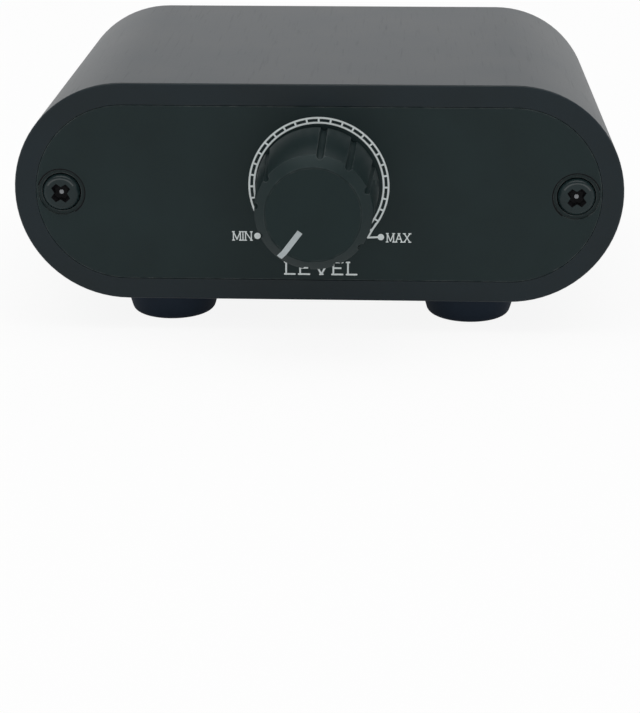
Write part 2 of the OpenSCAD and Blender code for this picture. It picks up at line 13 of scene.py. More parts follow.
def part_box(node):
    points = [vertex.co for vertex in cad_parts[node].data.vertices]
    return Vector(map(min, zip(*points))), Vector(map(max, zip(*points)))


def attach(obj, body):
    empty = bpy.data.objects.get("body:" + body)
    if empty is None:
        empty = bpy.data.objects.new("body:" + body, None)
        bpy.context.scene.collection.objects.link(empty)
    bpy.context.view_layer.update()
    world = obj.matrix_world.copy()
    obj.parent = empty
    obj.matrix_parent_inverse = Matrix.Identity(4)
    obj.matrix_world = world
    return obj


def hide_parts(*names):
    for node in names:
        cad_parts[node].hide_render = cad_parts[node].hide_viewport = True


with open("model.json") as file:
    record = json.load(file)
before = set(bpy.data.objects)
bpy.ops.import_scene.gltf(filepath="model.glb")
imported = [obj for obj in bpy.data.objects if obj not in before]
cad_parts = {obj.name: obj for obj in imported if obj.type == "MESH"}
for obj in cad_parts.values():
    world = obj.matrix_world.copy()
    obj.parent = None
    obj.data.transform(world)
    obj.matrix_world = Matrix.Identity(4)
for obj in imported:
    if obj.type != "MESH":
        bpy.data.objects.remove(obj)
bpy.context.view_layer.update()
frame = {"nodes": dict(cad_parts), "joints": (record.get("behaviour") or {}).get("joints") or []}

bl_info = {
    "name": "Volume Control Box",
    "version": (1, 0, 0),
    "blender": (4, 5, 0),
    "location": "3D View > Sidebar > Volume Box",
    "description": "Builds the looks of a passive volume control box on its packed frame",
    "category": "Add Mesh",
}

MM = 0.001
BOXES = {name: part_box(name) for name in frame["nodes"]}
CASE_LOW, CASE_HIGH = BOXES["case_shell"]
CASE_WIDTH = CASE_HIGH.x - CASE_LOW.x
CASE_HEIGHT = CASE_HIGH.z - CASE_LOW.z
MID_Z = (CASE_LOW.z + CASE_HIGH.z) / 2
FRONT_Y = CASE_LOW.y
REAR_Y = CASE_HIGH.y
PANEL_T = BOXES["front_panel"][1].y - FRONT_Y
KNOB_AXIS = Vector(frame["joints"][0]["pos_m"])
SCREW_R = (BOXES["front_screws"][1].z - BOXES["front_screws"][0].z) / 2
SCREW_X = BOXES["front_screws"][1].x - SCREW_R
SOCKETS = ("in_right", "in_left", "out_right", "out_left")
SHELL_R = (BOXES["in_right_shell"][1].x - BOXES["in_right_shell"][0].x) / 2
SOCKET_RISE = BOXES["in_right_shell"][1].z - SHELL_R - MID_Z

# Places of the materials in the list of a panel or core, and in that of a screw
# The second place of a panel or core holds a dark material painted into recesses and holes as shade
COAT, PAINTED_SHADE, BARE = range(3)
# A screw's second place is a glossier coat painted as a highlight on the top of the head, its third a near
# black painted as shade on the recess's wall, and its fourth bare metal painted as a glint at the recess's
# end
HEAD_COAT, HEAD_HIGHLIGHT, RECESS_SHADE, RECESS_GLINT = range(4)

# Places of the colour sockets among those of a Mix node
MIX_FIRST, MIX_SECOND, MIX_RESULT = 6, 7, 2

# Nodes that stay as the CAD made them, and the finish each gets
KEPT_NODES = {
    "pot_shaft": "steel", "pot_bushing": "steel", "pot_washer": "steel", "pot_nut": "steel",
    "pot_frame": "steel", "pot_terminals": "steel",
    "pot_housing_front": "moulding_black", "pot_housing_rear": "moulding_black",
    "pot_track_front": "track_brown", "pot_track_rear": "track_brown",
    "pot_wiper_front": "wiper_white", "pot_wiper_rear": "wiper_white",
    "main_board": "board_green",
}

# Depth of a die line as a share of the grain's height
STREAK_DEPTH = 0.8

# Where a boss's web starts as a share of the boss's radius, and the length of a groove's cutter as a
# share of the knob's height
WEB_START = 0.7
CUTTER_REACH = 1.2

# Rings of the chamfer round a socket's hole, from the face inward: share of its width still to go,
# share of its depth, and the material that follows
COLLAR_RINGS = (
    (1.0, 0.0, BARE), (0.74, 0.16, COAT), (0.48, 0.42, BARE), (0.16, 0.74, COAT), (0.0, 1.0, COAT))

# Thickness of printed forms that overlap, and the height of the bands' lines, as shares of the film, and
# steps of height from stroke to stroke, so that no two printed faces share a plane
RUNG_FILM, LEAD_FILM, END_FILM, DOT_FILM, BAND_LIFT = 0.9, 1.1, 1.2, 1.4, 0.6
LIFT_SHARE = 0.04
LIFT_STEPS = 6

# Words on the panels: text, left end, right end and base line, in millimetres from the panel's middle
SCALE_WORDS = (("MIN", -10.6, -8.35, -6.0), ("MAX", 8.72, 11.55, -6.05))
DIAL_WORDS = (("LEVEL", -4.0, 4.9, -10.4),)
SOCKET_WORDS = (("LINE IN", -23.3, -11.4, -8.95), ("LINE OUT", 8.3, 24.0, -8.95))

# Dots at the ends of the dial scale, and the bent line that leads from the scale to the second dot
SCALE_DOTS = ((-7.58 * MM, -5.43 * MM), (7.92 * MM, -5.42 * MM))
LEAD_START = (7.30 * MM, -3.67 * MM)
LEAD_BEND = (6.28 * MM, -5.50 * MM)

# Stage: half the floor's width, the overhead lamp, and the heights (0 level, 1 straight up) between
# which the mirrored surround darkens and grows white again
FLOOR_REACH = 4.0
LAMP_WIDTH, LAMP_DEPTH = 1.2, 0.45
LAMP_PLACE = (0.0, -0.05, 0.7)
DARK_START, DARK_FULL = 0.56, 0.62
WHITE_START, WHITE_FULL = 0.84, 0.90


def length(name, description, default):
    """A size that the user may change; its default is given in millimetres."""
    return FloatProperty(
        name=name, description=description, default=default * MM, subtype="DISTANCE", unit="LENGTH",
        precision=5)


def angle(name, description, default):
    """An angle that the user may change; its default is given in degrees."""
    return FloatProperty(
        name=name, description=description, default=math.radians(default), subtype="ANGLE", unit="ROTATION")


def tint(name, description, *default):
    """A colour that the user may change."""
    return FloatVectorProperty(
        name=name, description=description, default=default, subtype="COLOR", size=3, min=0.0, max=1.0)


def level(name, description, default):
    """A plain number that the user may change."""
    return FloatProperty(name=name, description=description, default=default, subtype="FACTOR", min=0.0)


class CaseSizes(bpy.types.PropertyGroup):
    """Sizes of the tube case"""
    wall: length("Wall", "Thickness of the tube's wall", 3.2)
    rim: length("Rim", "Width of the tube's edge round a panel", 2.7)
    edge: length("Edge", "Rounding of the tube's outer edges", 0.3)
    lip: length("Lip", "Rounding of the edge next to a panel", 0.06)
    boss_r: length("Boss", "Radius of a screw boss in the tube", 2.6)
    boss_bore_r: length("Boss bore", "Radius of the bore in a screw boss", 1.3)
    boss_web: length("Boss web", "Thickness of the web that joins a boss to the wall", 4.0)
    rail_t: length("Rail", "Thickness of a rail that holds the board", 1.0)
    rail_grip: length("Rail grip", "How far a rail reaches over the board's edge", 0.8)


class PanelSizes(bpy.types.PropertyGroup):
    """Sizes of the panels"""
    edge: length("Edge", "Rounding of a panel's outer edge", 0.06)
    fill: length("Fill", "How far the panel's coat closes the gap to the tube", 0.06)
    counterbore_r: length("Counterbore", "Radius of the shallow mouth of a screw's recess", 2.9)
    # The dark edges round the recesses are painted shade
    front_line: length("Front line", "Width of the dark edge round a front recess", 0.14)
    rear_line: length("Rear line", "Width of the dark edge round a rear recess", 0.07)
    mouth_h: length("Mouth depth", "Depth of the shallow mouth of a screw's recess", 0.3)
    seat_gap: length("Seat gap", "Gap between a screw's head and its recess below the mouth", 0.12)
    counterbore_h: length("Counterbore depth", "Depth of the recess for a screw's head", 1.2)
    screw_hole_r: length("Screw hole", "Radius of the hole for a screw", 1.45)
    bushing_hole_r: length("Control hole", "Radius of the hole for the control's bushing", 3.7)
    socket_hole_r: length("Socket hole", "Radius of the hole round a socket", 4.65)
    chamfer: length("Chamfer", "Chamfer of bare metal round a socket's hole", 0.45)


class ScrewSizes(bpy.types.PropertyGroup):
    """Sizes of the screws"""
    head_h: length("Head", "Height of a screw's head", 1.7)
    head_round: length("Head rounding", "Rounding of the head's edge", 0.75)
    shank_r: length("Shank", "Radius of a screw's shank", 1.25)
    recess_span: length("Recess span", "Width of the cross recess from tip to tip", 2.7)
    recess_w: length("Recess arm", "Width of one arm of the cross recess", 0.84)
    recess_h: length("Recess depth", "Depth of the cross recess", 0.8)
    turn_front_left: angle("Front left turn", "Turn of the front left cross", 42.0)
    turn_front_right: angle("Front right turn", "Turn of the front right cross", 47.0)
    turn_rear_left: angle("Rear left turn", "Turn of the rear left cross, seen from behind", 10.0)
    turn_rear_right: angle("Rear right turn", "Turn of the rear right cross, seen from behind", 5.0)


class FootSizes(bpy.types.PropertyGroup):
    """Sizes of the feet"""
    ground_r: length("Ground radius", "Radius of a foot at the ground, before its edge is rounded", 5.3)
    edge: length("Edge", "Rounding of a foot's lower edge", 0.8)


class KnobSizes(bpy.types.PropertyGroup):
    """Sizes of the knob"""
    base_r: length("Base", "Radius of the knob next to the panel", 7.65)
    shoulder_r: length("Shoulder", "Radius of the knob below its chamfer", 7.05)
    face_r: length("Face", "Radius of the knob's face", 5.85)
    chamfer: length("Chamfer", "Height of the chamfer round the face", 1.1)
    shoulder_round: length("Shoulder rounding", "Rounding below the chamfer", 0.14)
    face_round: length("Face rounding", "Rounding of the face's edge", 0.06)
    ring_r: length("Ring", "Radius of the fine ring in the face", 5.72)
    ring_w: length("Ring width", "Width of the fine ring in the face", 0.1)
    ring_h: length("Ring depth", "Depth of the fine ring in the face", 0.04)
    skirt_r: length("Skirt", "Radius of the hollow over the control's nut", 6.1)
    skirt_h: length("Skirt depth", "Depth of that hollow from the panel", 4.4)
    bore_r: length("Bore", "Radius of the bore for the shaft", 3.02)
    bore_top: length("Bore end", "Thickness of the face over the bore", 1.6)
    groove_w: length("Groove", "Width of a grip groove", 0.9)
    groove_h: length("Groove depth", "Depth of a grip groove", 0.42)
    groove_step: angle("Groove step", "Angle between the grooves of a group", 30.0)
    groove_groups: IntProperty(name="Groove groups", description="Groups of grooves", default=3, min=1)
    group_size: IntProperty(name="Group size", description="Grooves in a group", default=3, min=1)
    line_w: length("Line", "Width of the white line", 0.7)
    line_start: length("Line start", "Radius at which the white line starts", 2.6)
    line_end: length("Line end", "Radius at which the white line ends on the chamfer", 6.875)
    line_rest: angle("Line at rest", "Turn of the line at rest, counterclockwise from the top", 143.5)


class SocketSizes(bpy.types.PropertyGroup):
    """Sizes of the sockets"""
    lip: length("Lip", "Rounding of the barrel's front edge", 0.75)
    inner_lip: length("Inner lip", "Rounding of the barrel's inner edge", 0.04)
    step: length("Step", "How much thinner the barrel is in the panel, on the radius", 0.25)
    step_in: length("Step place", "Where the barrel becomes thinner, inside the panel", 0.9)
    ring_w: length("Ring width", "Width of the fine ring turned near the barrel's base", 0.16)
    ring_h: length("Ring depth", "Depth of the fine ring turned near the barrel's base", 0.1)
    ring_out: length("Ring place", "Distance of the fine ring from the panel", 0.62)
    tail_w: length("Tail", "Width of the barrel's earth tail", 2.0)
    tail_t: length("Tail thickness", "Thickness of the barrel's earth tail", 0.6)
    pin_r: length("Pin hole", "Radius of the hole for a plug's pin", 1.7)
    pin_lip: length("Pin hole lip", "Rounding of the pin hole's edge", 0.42)
    pin_len: length("Pin hole depth", "Length of the pin hole before the contact", 9.0)
    room_r: length("Contact room", "Radius of the room round the contact", 2.05)


class PrintSizes(bpy.types.PropertyGroup):
    """Sizes of the print"""
    film: length("Film", "Thickness of the print", 0.02)
    scale_line: length("Scale line", "Width of the dial scale's lines", 0.232)
    scale_inner: length("Scale inner", "Radius of the dial scale's inner line", 8.06)
    scale_outer: length("Scale outer", "Radius of the dial scale's outer line", 8.66)
    scale_shift: length("Scale shift", "How far right of the knob's axis the scale is printed", 0.15)
    scale_end: angle("Scale end", "Angle of the scale's ends from the top", 131.0)
    scale_rungs: IntProperty(name="Scale rungs", description="Rungs of the dial scale", default=27, min=2)
    dot_r: length("Dot", "Radius of the dots at the ends of the scale", 0.41)
    small_line: length("Small line", "Stroke of the words at the ends of the scale", 0.135)
    small_cap: length("Small words", "Height of the words at the ends of the scale", 1.1)
    name_line: length("Dial word line", "Stroke of the word under the dial", 0.22)
    name_cap: length("Dial word", "Height of the word under the dial", 1.6)
    legend_line: length("Legend line", "Stroke of the legends under the sockets", 0.27)
    legend_cap: length("Legends", "Height of the legends under the sockets", 2.08)
    band_line: length("Band line", "Width of the pale line along a band's edges", 0.12)


class Colours(bpy.types.PropertyGroup):
    """Colours of the pieces"""
    case: tint("Case", "Black of the anodised case", 0.0045, 0.0122, 0.0210)
    panel: tint("Panels", "Black of the anodised panels", 0.0113, 0.0222, 0.0232)
    screw: tint("Screws", "Black of the screws", 0.0100, 0.0205, 0.0220)
    rubber: tint("Feet", "Black of the rubber feet", 0.013, 0.022, 0.036)
    knob: tint("Knob", "Black of the moulded knob", 0.0082, 0.0165, 0.0172)
    line: tint("Knob line", "White of the line on the knob", 0.445, 0.495, 0.507)
    ink: tint("Print", "Pale grey of the printed markings", 0.78, 0.84, 0.84)
    band: tint("Bands", "Grey of the printed bands between the sockets", 0.549, 0.584, 0.572)
    gilt: tint("Gilt", "Gold of the sockets", 0.65, 0.525, 0.33)
    bare: tint("Bare metal", "Metal of the chamfers round the sockets", 0.95, 0.97, 0.97)
    red: tint("Red core", "Red of two socket cores", 0.28, 0.024, 0.030)
    white: tint("White core", "White of two socket cores", 0.69, 0.665, 0.615)


class StageSetup(bpy.types.PropertyGroup):
    """Floor, light and camera"""
    lens: FloatProperty(name="Lens", description="Focal length in millimetres", default=96.76, unit="CAMERA")
    eye: FloatVectorProperty(
        name="Camera place", description="Where the camera stands", subtype="TRANSLATION", unit="LENGTH",
        size=3, default=(9.886 * MM, -253.255 * MM, 82.866 * MM))
    aim: FloatVectorProperty(
        name="Camera angles", description="Side, height and roll angle of the camera", subtype="EULER",
        unit="ROTATION", size=3, default=(0.0418, 0.3582, -0.0019))
    fill: level("Fill", "Brightness of the light from all round", 0.60)
    ceiling: level("Ceiling", "Brightness of the band over the white surround that metal mirrors", 0.15)
    key: FloatProperty(
        name="Overhead light", description="Power of the soft light above", default=3.4, unit="POWER")
    floor: tint("Floor", "Colour of the floor", 0.82, 0.82, 0.82)
    white: level("White", "How much of the floor is seen as plain white", 0.90)
    mirrored: level("Mirrored white", "How much of the floor is mirrored as plain white", 0.30)


def setup(name):
    """The property group of that name on the scene."""
    return getattr(bpy.context.scene, "volume_box_" + name)


# Shader helpers

def add_node(tree, kind, **values):
    """A node with its inputs set by name; an underscore stands for a space."""
    node = tree.nodes.new(kind)
    for name, value in values.items():
        node.inputs[name.replace("_", " ")].default_value = value
    return node


def feed(tree, socket, value):
    """Links an input to another socket, or sets it to a plain value."""
    if isinstance(value, bpy.types.NodeSocket):
        tree.links.new(value, socket)
    else:
        socket.default_value = value


def wire(tree, *links):
    """Links pairs of output and input sockets."""
    for output, target in links:
        tree.links.new(output, target)


def add_math(tree, operation, first, second=0.0):
    """A math node on one or two sockets or numbers; gives its output."""
    node = tree.nodes.new("ShaderNodeMath")
    node.operation = operation
    feed(tree, node.inputs[0], first)
    feed(tree, node.inputs[1], second)
    return node.outputs[0]


def add_range(tree, value, low, high, start=0.0, end=1.0):
    """Maps a value from one range to another and keeps it inside."""
    node = add_node(tree, "ShaderNodeMapRange", From_Min=low, From_Max=high, To_Min=start, To_Max=end)
    tree.links.new(value, node.inputs["Value"])
    return node.outputs["Result"]


def add_noise(tree, vector, scale, detail=2.0, roughness=0.5):
    """A noise texture on a vector; gives its grey output."""
    node = add_node(tree, "ShaderNodeTexNoise", Detail=detail, Roughness=roughness)
    feed(tree, node.inputs["Vector"], vector)
    feed(tree, node.inputs["Scale"], scale)
    return node.outputs["Fac"]


def shader_group(name, output, scaled=False):
    """A new shader node group that reads a vector, and a scale where it has one, and puts out a value;
    gives the group and the sockets of its two ends."""
    group = bpy.data.node_groups.new(name, "ShaderNodeTree")
    group.interface.new_socket(name="Vector", in_out="INPUT", socket_type="NodeSocketVector")
    if scaled:
        group.interface.new_socket(name="Scale", in_out="INPUT", socket_type="NodeSocketFloat")
    group.interface.new_socket(name=output, in_out="OUTPUT", socket_type="NodeSocketFloat")
    source, result = group.nodes.new("NodeGroupInput"), group.nodes.new("NodeGroupOutput")
    return group, source.outputs, result.inputs[output]


def grain_group():
    """Fine grain of a blasted or moulded surface, as a height."""
    group, ask, result = shader_group("Fine grain", "Height", scaled=True)
    fine = add_noise(group, ask["Vector"], ask["Scale"], detail=3.0, roughness=0.6)
    group.links.new(fine, result)
    return group


def handling_group():
    """Broad soft patches where hands and cloths have touched the surface."""
    group, ask, result = shader_group("Handling", "Mask", scaled=True)
    broad = add_noise(group, ask["Vector"], ask["Scale"], detail=4.0, roughness=0.55)
    group.links.new(add_range(group, broad, low=0.3, high=0.7), result)
    return group


def die_line_group():
    """Short streaks along the depth of the tube, as the die leaves them."""
    group, ask, result = shader_group("Die lines", "Mask")
    stretch = add_node(group, "ShaderNodeMapping", Scale=(1.0, 0.04, 1.0))
    group.links.new(ask["Vector"], stretch.inputs["Vector"])
    streaks = add_noise(group, stretch.outputs["Vector"], scale=3200.0)
    group.links.new(add_range(group, streaks, low=0.60, high=0.80), result)
    return group


def edge_group():
    """Slight wear where the surface turns sharply, broken up by noise."""
    group, ask, result = shader_group("Edge wear", "Mask")
    bevel = add_node(group, "ShaderNodeBevel", Radius=0.25 * MM)
    bevel.samples = 4
    facing_dot = group.nodes.new("ShaderNodeVectorMath")
    facing_dot.operation = "DOT_PRODUCT"
    flat = group.nodes.new("ShaderNodeNewGeometry").outputs["Normal"]
    wire(group, (bevel.outputs["Normal"], facing_dot.inputs[0]), (flat, facing_dot.inputs[1]))
    bend = add_range(group, facing_dot.outputs["Value"], low=0.98, high=0.80)
    noise = add_noise(group, ask["Vector"], scale=900.0, detail=3.0)
    broken = add_range(group, noise, low=0.35, high=0.65)
    group.links.new(add_math(group, "MULTIPLY", bend, broken), result)
    return group


GROUP_MAKERS = {
    "Fine grain": grain_group, "Handling": handling_group,
    "Die lines": die_line_group, "Edge wear": edge_group,
}


def use_group(tree, name, vector, output, **values):
    """Puts a shared shader group in a tree and gives one of its outputs."""
    node = tree.nodes.new("ShaderNodeGroup")
    node.node_tree = bpy.data.node_groups.get(name) or GROUP_MAKERS[name]()
    tree.links.new(vector, node.inputs["Vector"])
    for label, value in values.items():
        node.inputs[label].default_value = value
    return node.outputs[output]


def add_mix(tree, factor, first, second):
    """Mixes two colours, each a socket or three numbers."""
    node = tree.nodes.new("ShaderNodeMix")
    node.data_type = "RGBA"
    tree.links.new(factor, node.inputs["Factor"])
    for place, value in ((MIX_FIRST, first), (MIX_SECOND, second)):
        plain = not isinstance(value, bpy.types.NodeSocket)
        feed(tree, node.inputs[place], (*value, 1.0) if plain else value)
    return node.outputs[MIX_RESULT]


def surface(name, colour, roughness, metallic=0.0, specular=0.5, spread=0.12, patch=90.0, grain=2500.0,
            relief=0.006, rough_spread=0.05, wear=0.0, lines=0.0, turned=0.0, sheen=(1.0, 1.0, 1.0)):
    """A procedural material: soft patches in colour and roughness, fine relief, and what wear, die lines
    or turning marks the piece has."""
    material = bpy.data.materials.new(name)
    material.use_nodes = True
    tree = material.node_tree
    shader = tree.nodes["Principled BSDF"]
    shader.inputs["Metallic"].default_value = metallic
    shader.inputs["Specular IOR Level"].default_value = specular
    shader.inputs["Specular Tint"].default_value = (*sheen, 1.0)
    where = tree.nodes.new("ShaderNodeTexCoord").outputs["Object"]
    patches = use_group(tree, "Handling", where, "Mask", Scale=patch)
    base = add_mix(tree, patches, [c * (1 - spread) for c in colour], [c * (1 + spread) for c in colour])
    rough = add_range(tree, patches, 0.0, 1.0, roughness - rough_spread, roughness + rough_spread)
    height = use_group(tree, "Fine grain", where, "Height", Scale=grain)
    if lines:
        streaks = use_group(tree, "Die lines", where, "Mask")
        rough = add_math(tree, "ADD", rough, add_math(tree, "MULTIPLY", streaks, lines))
        height = add_math(tree, "SUBTRACT", height, add_math(tree, "MULTIPLY", streaks, STREAK_DEPTH))
    if turned:
        along = add_node(tree, "ShaderNodeMapping", Scale=(0.0, 1.0, 0.0))
        tree.links.new(where, along.inputs["Vector"])
        marks = add_noise(tree, along.outputs["Vector"], scale=9000.0)
        height = add_math(tree, "ADD", height, add_math(tree, "MULTIPLY", marks, turned))
    if wear:
        edges = use_group(tree, "Edge wear", where, "Mask")
        worn = [min(1.0, c + wear) for c in colour]
        base = add_mix(tree, edges, base, worn)
    bump = add_node(tree, "ShaderNodeBump", Strength=1.0, Distance=relief * MM)
    wire(tree,
         (height, bump.inputs["Height"]),
         (base, shader.inputs["Base Color"]),
         (rough, shader.inputs["Roughness"]),
         (bump.outputs["Normal"], shader.inputs["Normal"]))
    return material


def finish(name):
    """The material of that name, made at its first use."""
    found = bpy.data.materials.get(name + "_finish")
    if found:
        return found
    colours = setup("colours")
    looks = {
        "case_black": dict(colour=colours.case, roughness=0.38, specular=0.268, sheen=(1.0, 1.0, 0.8),
                           rough_spread=0.008, lines=0.045, wear=0.02),
        "panel_black": dict(colour=colours.panel, roughness=0.42, specular=0.17, rough_spread=0.015,
                            wear=0.09),
        "screw_black": dict(colour=colours.screw, roughness=0.30, specular=0.25, patch=400.0),
        # Painted highlight: a glossier coat on the upper part of a screw head's edge
        "screw_edge": dict(colour=colours.screw, roughness=0.16, specular=0.7, patch=400.0),
        # Painted glint: bright metal at the end of a screw's cross recess
        "screw_tip": dict(colour=(0.20, 0.21, 0.22), roughness=0.3, metallic=1.0, patch=900.0),
        "rubber": dict(colour=colours.rubber, roughness=0.62, specular=0.15, relief=0.01, grain=1800.0),
        "knob_black": dict(colour=colours.knob, roughness=0.40, specular=0.20, relief=0.008, wear=0.07,
                           sheen=(0.86, 1.0, 1.0)),
        "pointer_white": dict(colour=colours.line, roughness=0.55, specular=0.3, spread=0.06, patch=500.0),
        "ink": dict(colour=colours.ink, roughness=0.6, specular=0.25, spread=0.06, patch=700.0),
        "band_grey": dict(colour=colours.band, roughness=0.55, specular=0.25, spread=0.05, patch=200.0),
        "gilt": dict(colour=colours.gilt, roughness=0.07, metallic=1.0, spread=0.04, patch=300.0,
                     rough_spread=0.02, relief=0.0001, turned=1.0),
        "contact": dict(colour=(0.30, 0.28, 0.25), roughness=0.4, metallic=1.0),
        # Near black painted as shade in the panels' recesses and holes and on the screws' recess walls
        "bore_black": dict(colour=(0.006, 0.006, 0.007), roughness=0.6, specular=0.08),
        # Dark grey painted as shade on the wall of a socket's pin hole
        "pin_hole": dict(colour=(0.045, 0.05, 0.06), roughness=0.6, specular=0.2),
        "bare_metal": dict(colour=colours.bare, roughness=0.5, metallic=0.1, relief=0.001, patch=500.0),
        "insert_red": dict(colour=colours.red, roughness=0.38, specular=0.4, spread=0.10, patch=350.0),
        "insert_white": dict(colour=colours.white, roughness=0.40, specular=0.4, spread=0.04, patch=350.0),
        "steel": dict(colour=(0.55, 0.55, 0.54), roughness=0.32, metallic=1.0, wear=0.1),
        "moulding_black": dict(colour=(0.018, 0.018, 0.02), roughness=0.5, relief=0.01),
        "track_brown": dict(colour=(0.20, 0.10, 0.045), roughness=0.55, spread=0.25, patch=300.0),
        "wiper_white": dict(colour=(0.62, 0.60, 0.54), roughness=0.45, spread=0.06),
        "board_green": dict(colour=(0.012, 0.085, 0.035), roughness=0.35, spread=0.3, patch=260.0),
    }
    return surface(name + "_finish", **looks[name])


# Mesh helpers

def eased(corners, steps=6):
    """An outline whose corners, each (x, y, radius), are rounded by arcs."""
    points = []
    count = len(corners)
    for i, (x, y, radius) in enumerate(corners):
        here = Vector((x, y))
        if radius <= 0:
            points.append(here)
            continue
        back = (Vector(corners[i - 1][:2]) - here).normalized()
        ahead = (Vector(corners[(i + 1) % count][:2]) - here).normalized()
        half = back.angle(ahead) / 2
        centre = here + (back + ahead).normalized() * radius / math.sin(half)
        start = here + back * radius / math.tan(half) - centre
        end = here + ahead * radius / math.tan(half) - centre
        sweep = math.pi - 2 * half
        for k in range(steps + 1):
            part = k / steps * sweep
            points.append(centre + (start * math.sin(sweep - part) + end * math.sin(part)) / math.sin(sweep))
    return points


def round_ended(width, height, steps=40, support=0.6 * MM):
    """Points of a round-ended outline, with a point on each straight side next to every arc."""
    reach = (width - height) / 2
    radius = height / 2
    points = []
    for side in (1, -1):
        points.append((side * (reach - support), -side * radius))
        for k in range(steps + 1):
            turn = math.pi * (k / steps - 0.5)
            points.append((side * (reach + radius * math.cos(turn)), side * radius * math.sin(turn)))
        points.append((side * (reach - support), side * radius))
    return points


def circle(radius, steps, x=0.0, y=0.0):
    """Points of a circle."""
    return [(x + radius * math.cos(math.tau * k / steps), y + radius * math.sin(math.tau * k / steps))
            for k in range(steps)]


def facing(x, y, z, rear=False):
    """A place on a panel: X to the viewer's right, Y up, Z out towards the viewer."""
    turn = Matrix.Rotation(math.pi, 4, "Z") if rear else Matrix.Identity(4)
    return Matrix.Translation((x, y, z)) @ turn @ Matrix.Rotation(math.pi / 2, 4, "X")


def add_ring(bm, place, points, height):
    """A ring of points at one height of a place."""
    return [bm.verts.new(place @ Vector((x, y, height))) for x, y in points]


def join_rings(bm, first, second, material=0):
    """Faces between two rings of equal count; a ring of one point gives a fan."""
    count = max(len(first), len(second))
    for i in range(count):
        j = (i + 1) % count
        if len(first) == 1:
            corners = (first[0], second[j], second[i])
        elif len(second) == 1:
            corners = (first[i], first[j], second[0])
        else:
            corners = (first[i], first[j], second[j], second[i])
        bm.faces.new(corners).material_index = material


def lathe(bm, place, outline, steps=96, closed=False, material=lambda radius, height: 0):
    """Turns an outline of (radius, height) points round the Z axis of a place; the material of a face
    follows from the middle of its part of the outline."""
    rings = [add_ring(bm, place, circle(radius, steps) if radius else [(0.0, 0.0)], height)
             for radius, height in outline]
    outline = [Vector(point) for point in outline]
    last = len(rings) if closed else len(rings) - 1
    for i in range(last):
        j = (i + 1) % len(rings)
        join_rings(bm, rings[i], rings[j], material(*((outline[i] + outline[j]) / 2)))


def add_bar(bm, low, high, place=None):
    """A box between two corners."""
    low, high = Vector(low), Vector(high)
    shift = Matrix.Translation((low + high) / 2) @ Matrix.Diagonal((*(high - low), 1.0))
    bmesh.ops.create_cube(bm, size=1.0, matrix=place @ shift if place else shift)


def closed_mesh(bm, *materials):
    """Makes a mesh of what was built, with its faces turned outward."""
    bmesh.ops.recalc_face_normals(bm, faces=bm.faces)
    mesh = bpy.data.meshes.new("shape")
    bm.to_mesh(mesh)
    bm.free()
    for material in materials:
        mesh.materials.append(material)
    return mesh


def add_piece(name, mesh, body, slot, *nodes, sharp=38.0):
    """Finishes a mesh as a piece that rides on a body and stands for CAD nodes."""
    mesh.name = name
    mesh.shade_smooth()
    mesh.set_sharp_from_angle(angle=math.radians(sharp))
    piece = bpy.data.objects.new(name, mesh)
    bpy.context.scene.collection.objects.link(piece)
    weigh = piece.modifiers.new("Flat faces", "WEIGHTED_NORMAL")
    weigh.keep_sharp = True
    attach(piece, body)
    if nodes:
        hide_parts(*nodes)
    return piece


def evaluated(mesh, change):
    """The mesh that a modifier, set up by change, makes of another mesh."""
    carrier = bpy.data.objects.new("carrier", mesh)
    bpy.context.scene.collection.objects.link(carrier)
    change(carrier)
    graph = bpy.context.evaluated_depsgraph_get()
    result = bpy.data.meshes.new_from_object(carrier.evaluated_get(graph), depsgraph=graph)
    bpy.data.objects.remove(carrier)
    return result


def carved(mesh, cutter):
    """A mesh less another mesh."""
    tool = bpy.data.objects.new("cutter", cutter)
    bpy.context.scene.collection.objects.link(tool)

    def change(carrier):
        cut = carrier.modifiers.new("cut", "BOOLEAN")
        cut.object = tool
        cut.solver = "EXACT"

    result = evaluated(mesh, change)
    bpy.data.objects.remove(tool)
    return result


# Geometry Nodes helpers

def geometry_tree(name, inputs):
    """A Geometry Nodes tree with the named inputs; gives it and the sockets of its two ends."""
    tree = bpy.data.node_groups.new(name, "GeometryNodeTree")
    for label, kind in [("Geometry", "Geometry"), *inputs]:
        tree.interface.new_socket(name=label, in_out="INPUT", socket_type="NodeSocket" + kind)
    tree.interface.new_socket(name="Geometry", in_out="OUTPUT", socket_type="NodeSocketGeometry")
    source, result = tree.nodes.new("NodeGroupInput"), tree.nodes.new("NodeGroupOutput")
    return tree, source.outputs, result.inputs["Geometry"]


def end_tree(tree, ask, result, geometry):
    """Ends a tree: instances made real, material set on the faces that use the first material."""
    real = tree.nodes.new("GeometryNodeRealizeInstances")
    paint = tree.nodes.new("GeometryNodeSetMaterial")
    index = tree.nodes.new("GeometryNodeInputMaterialIndex").outputs["Material Index"]
    wire(tree,
         (add_math(tree, "LESS_THAN", index, 0.5), paint.inputs["Selection"]),
         (geometry, real.inputs["Geometry"]),
         (real.outputs["Geometry"], paint.inputs["Geometry"]),
         (ask["Material"], paint.inputs["Material"]),
         (paint.outputs["Geometry"], result))


def grown(mesh, tree, **values):
    """The mesh that a tree makes of another mesh, with its named inputs set."""
    def change(carrier):
        modifier = carrier.modifiers.new(tree.name, "NODES")
        modifier.node_group = tree
        for item in tree.interface.items_tree:
            if item.in_out == "INPUT" and item.name.replace(" ", "_") in values:
                modifier[item.identifier] = values[item.name.replace(" ", "_")]

    return evaluated(mesh, change)


def combine(tree, x=0.0, y=0.0, z=0.0):
    """A vector of three sockets or numbers."""
    node = tree.nodes.new("ShaderNodeCombineXYZ")
    for socket, value in zip(node.inputs, (x, y, z)):
        feed(tree, socket, value)
    return node.outputs["Vector"]


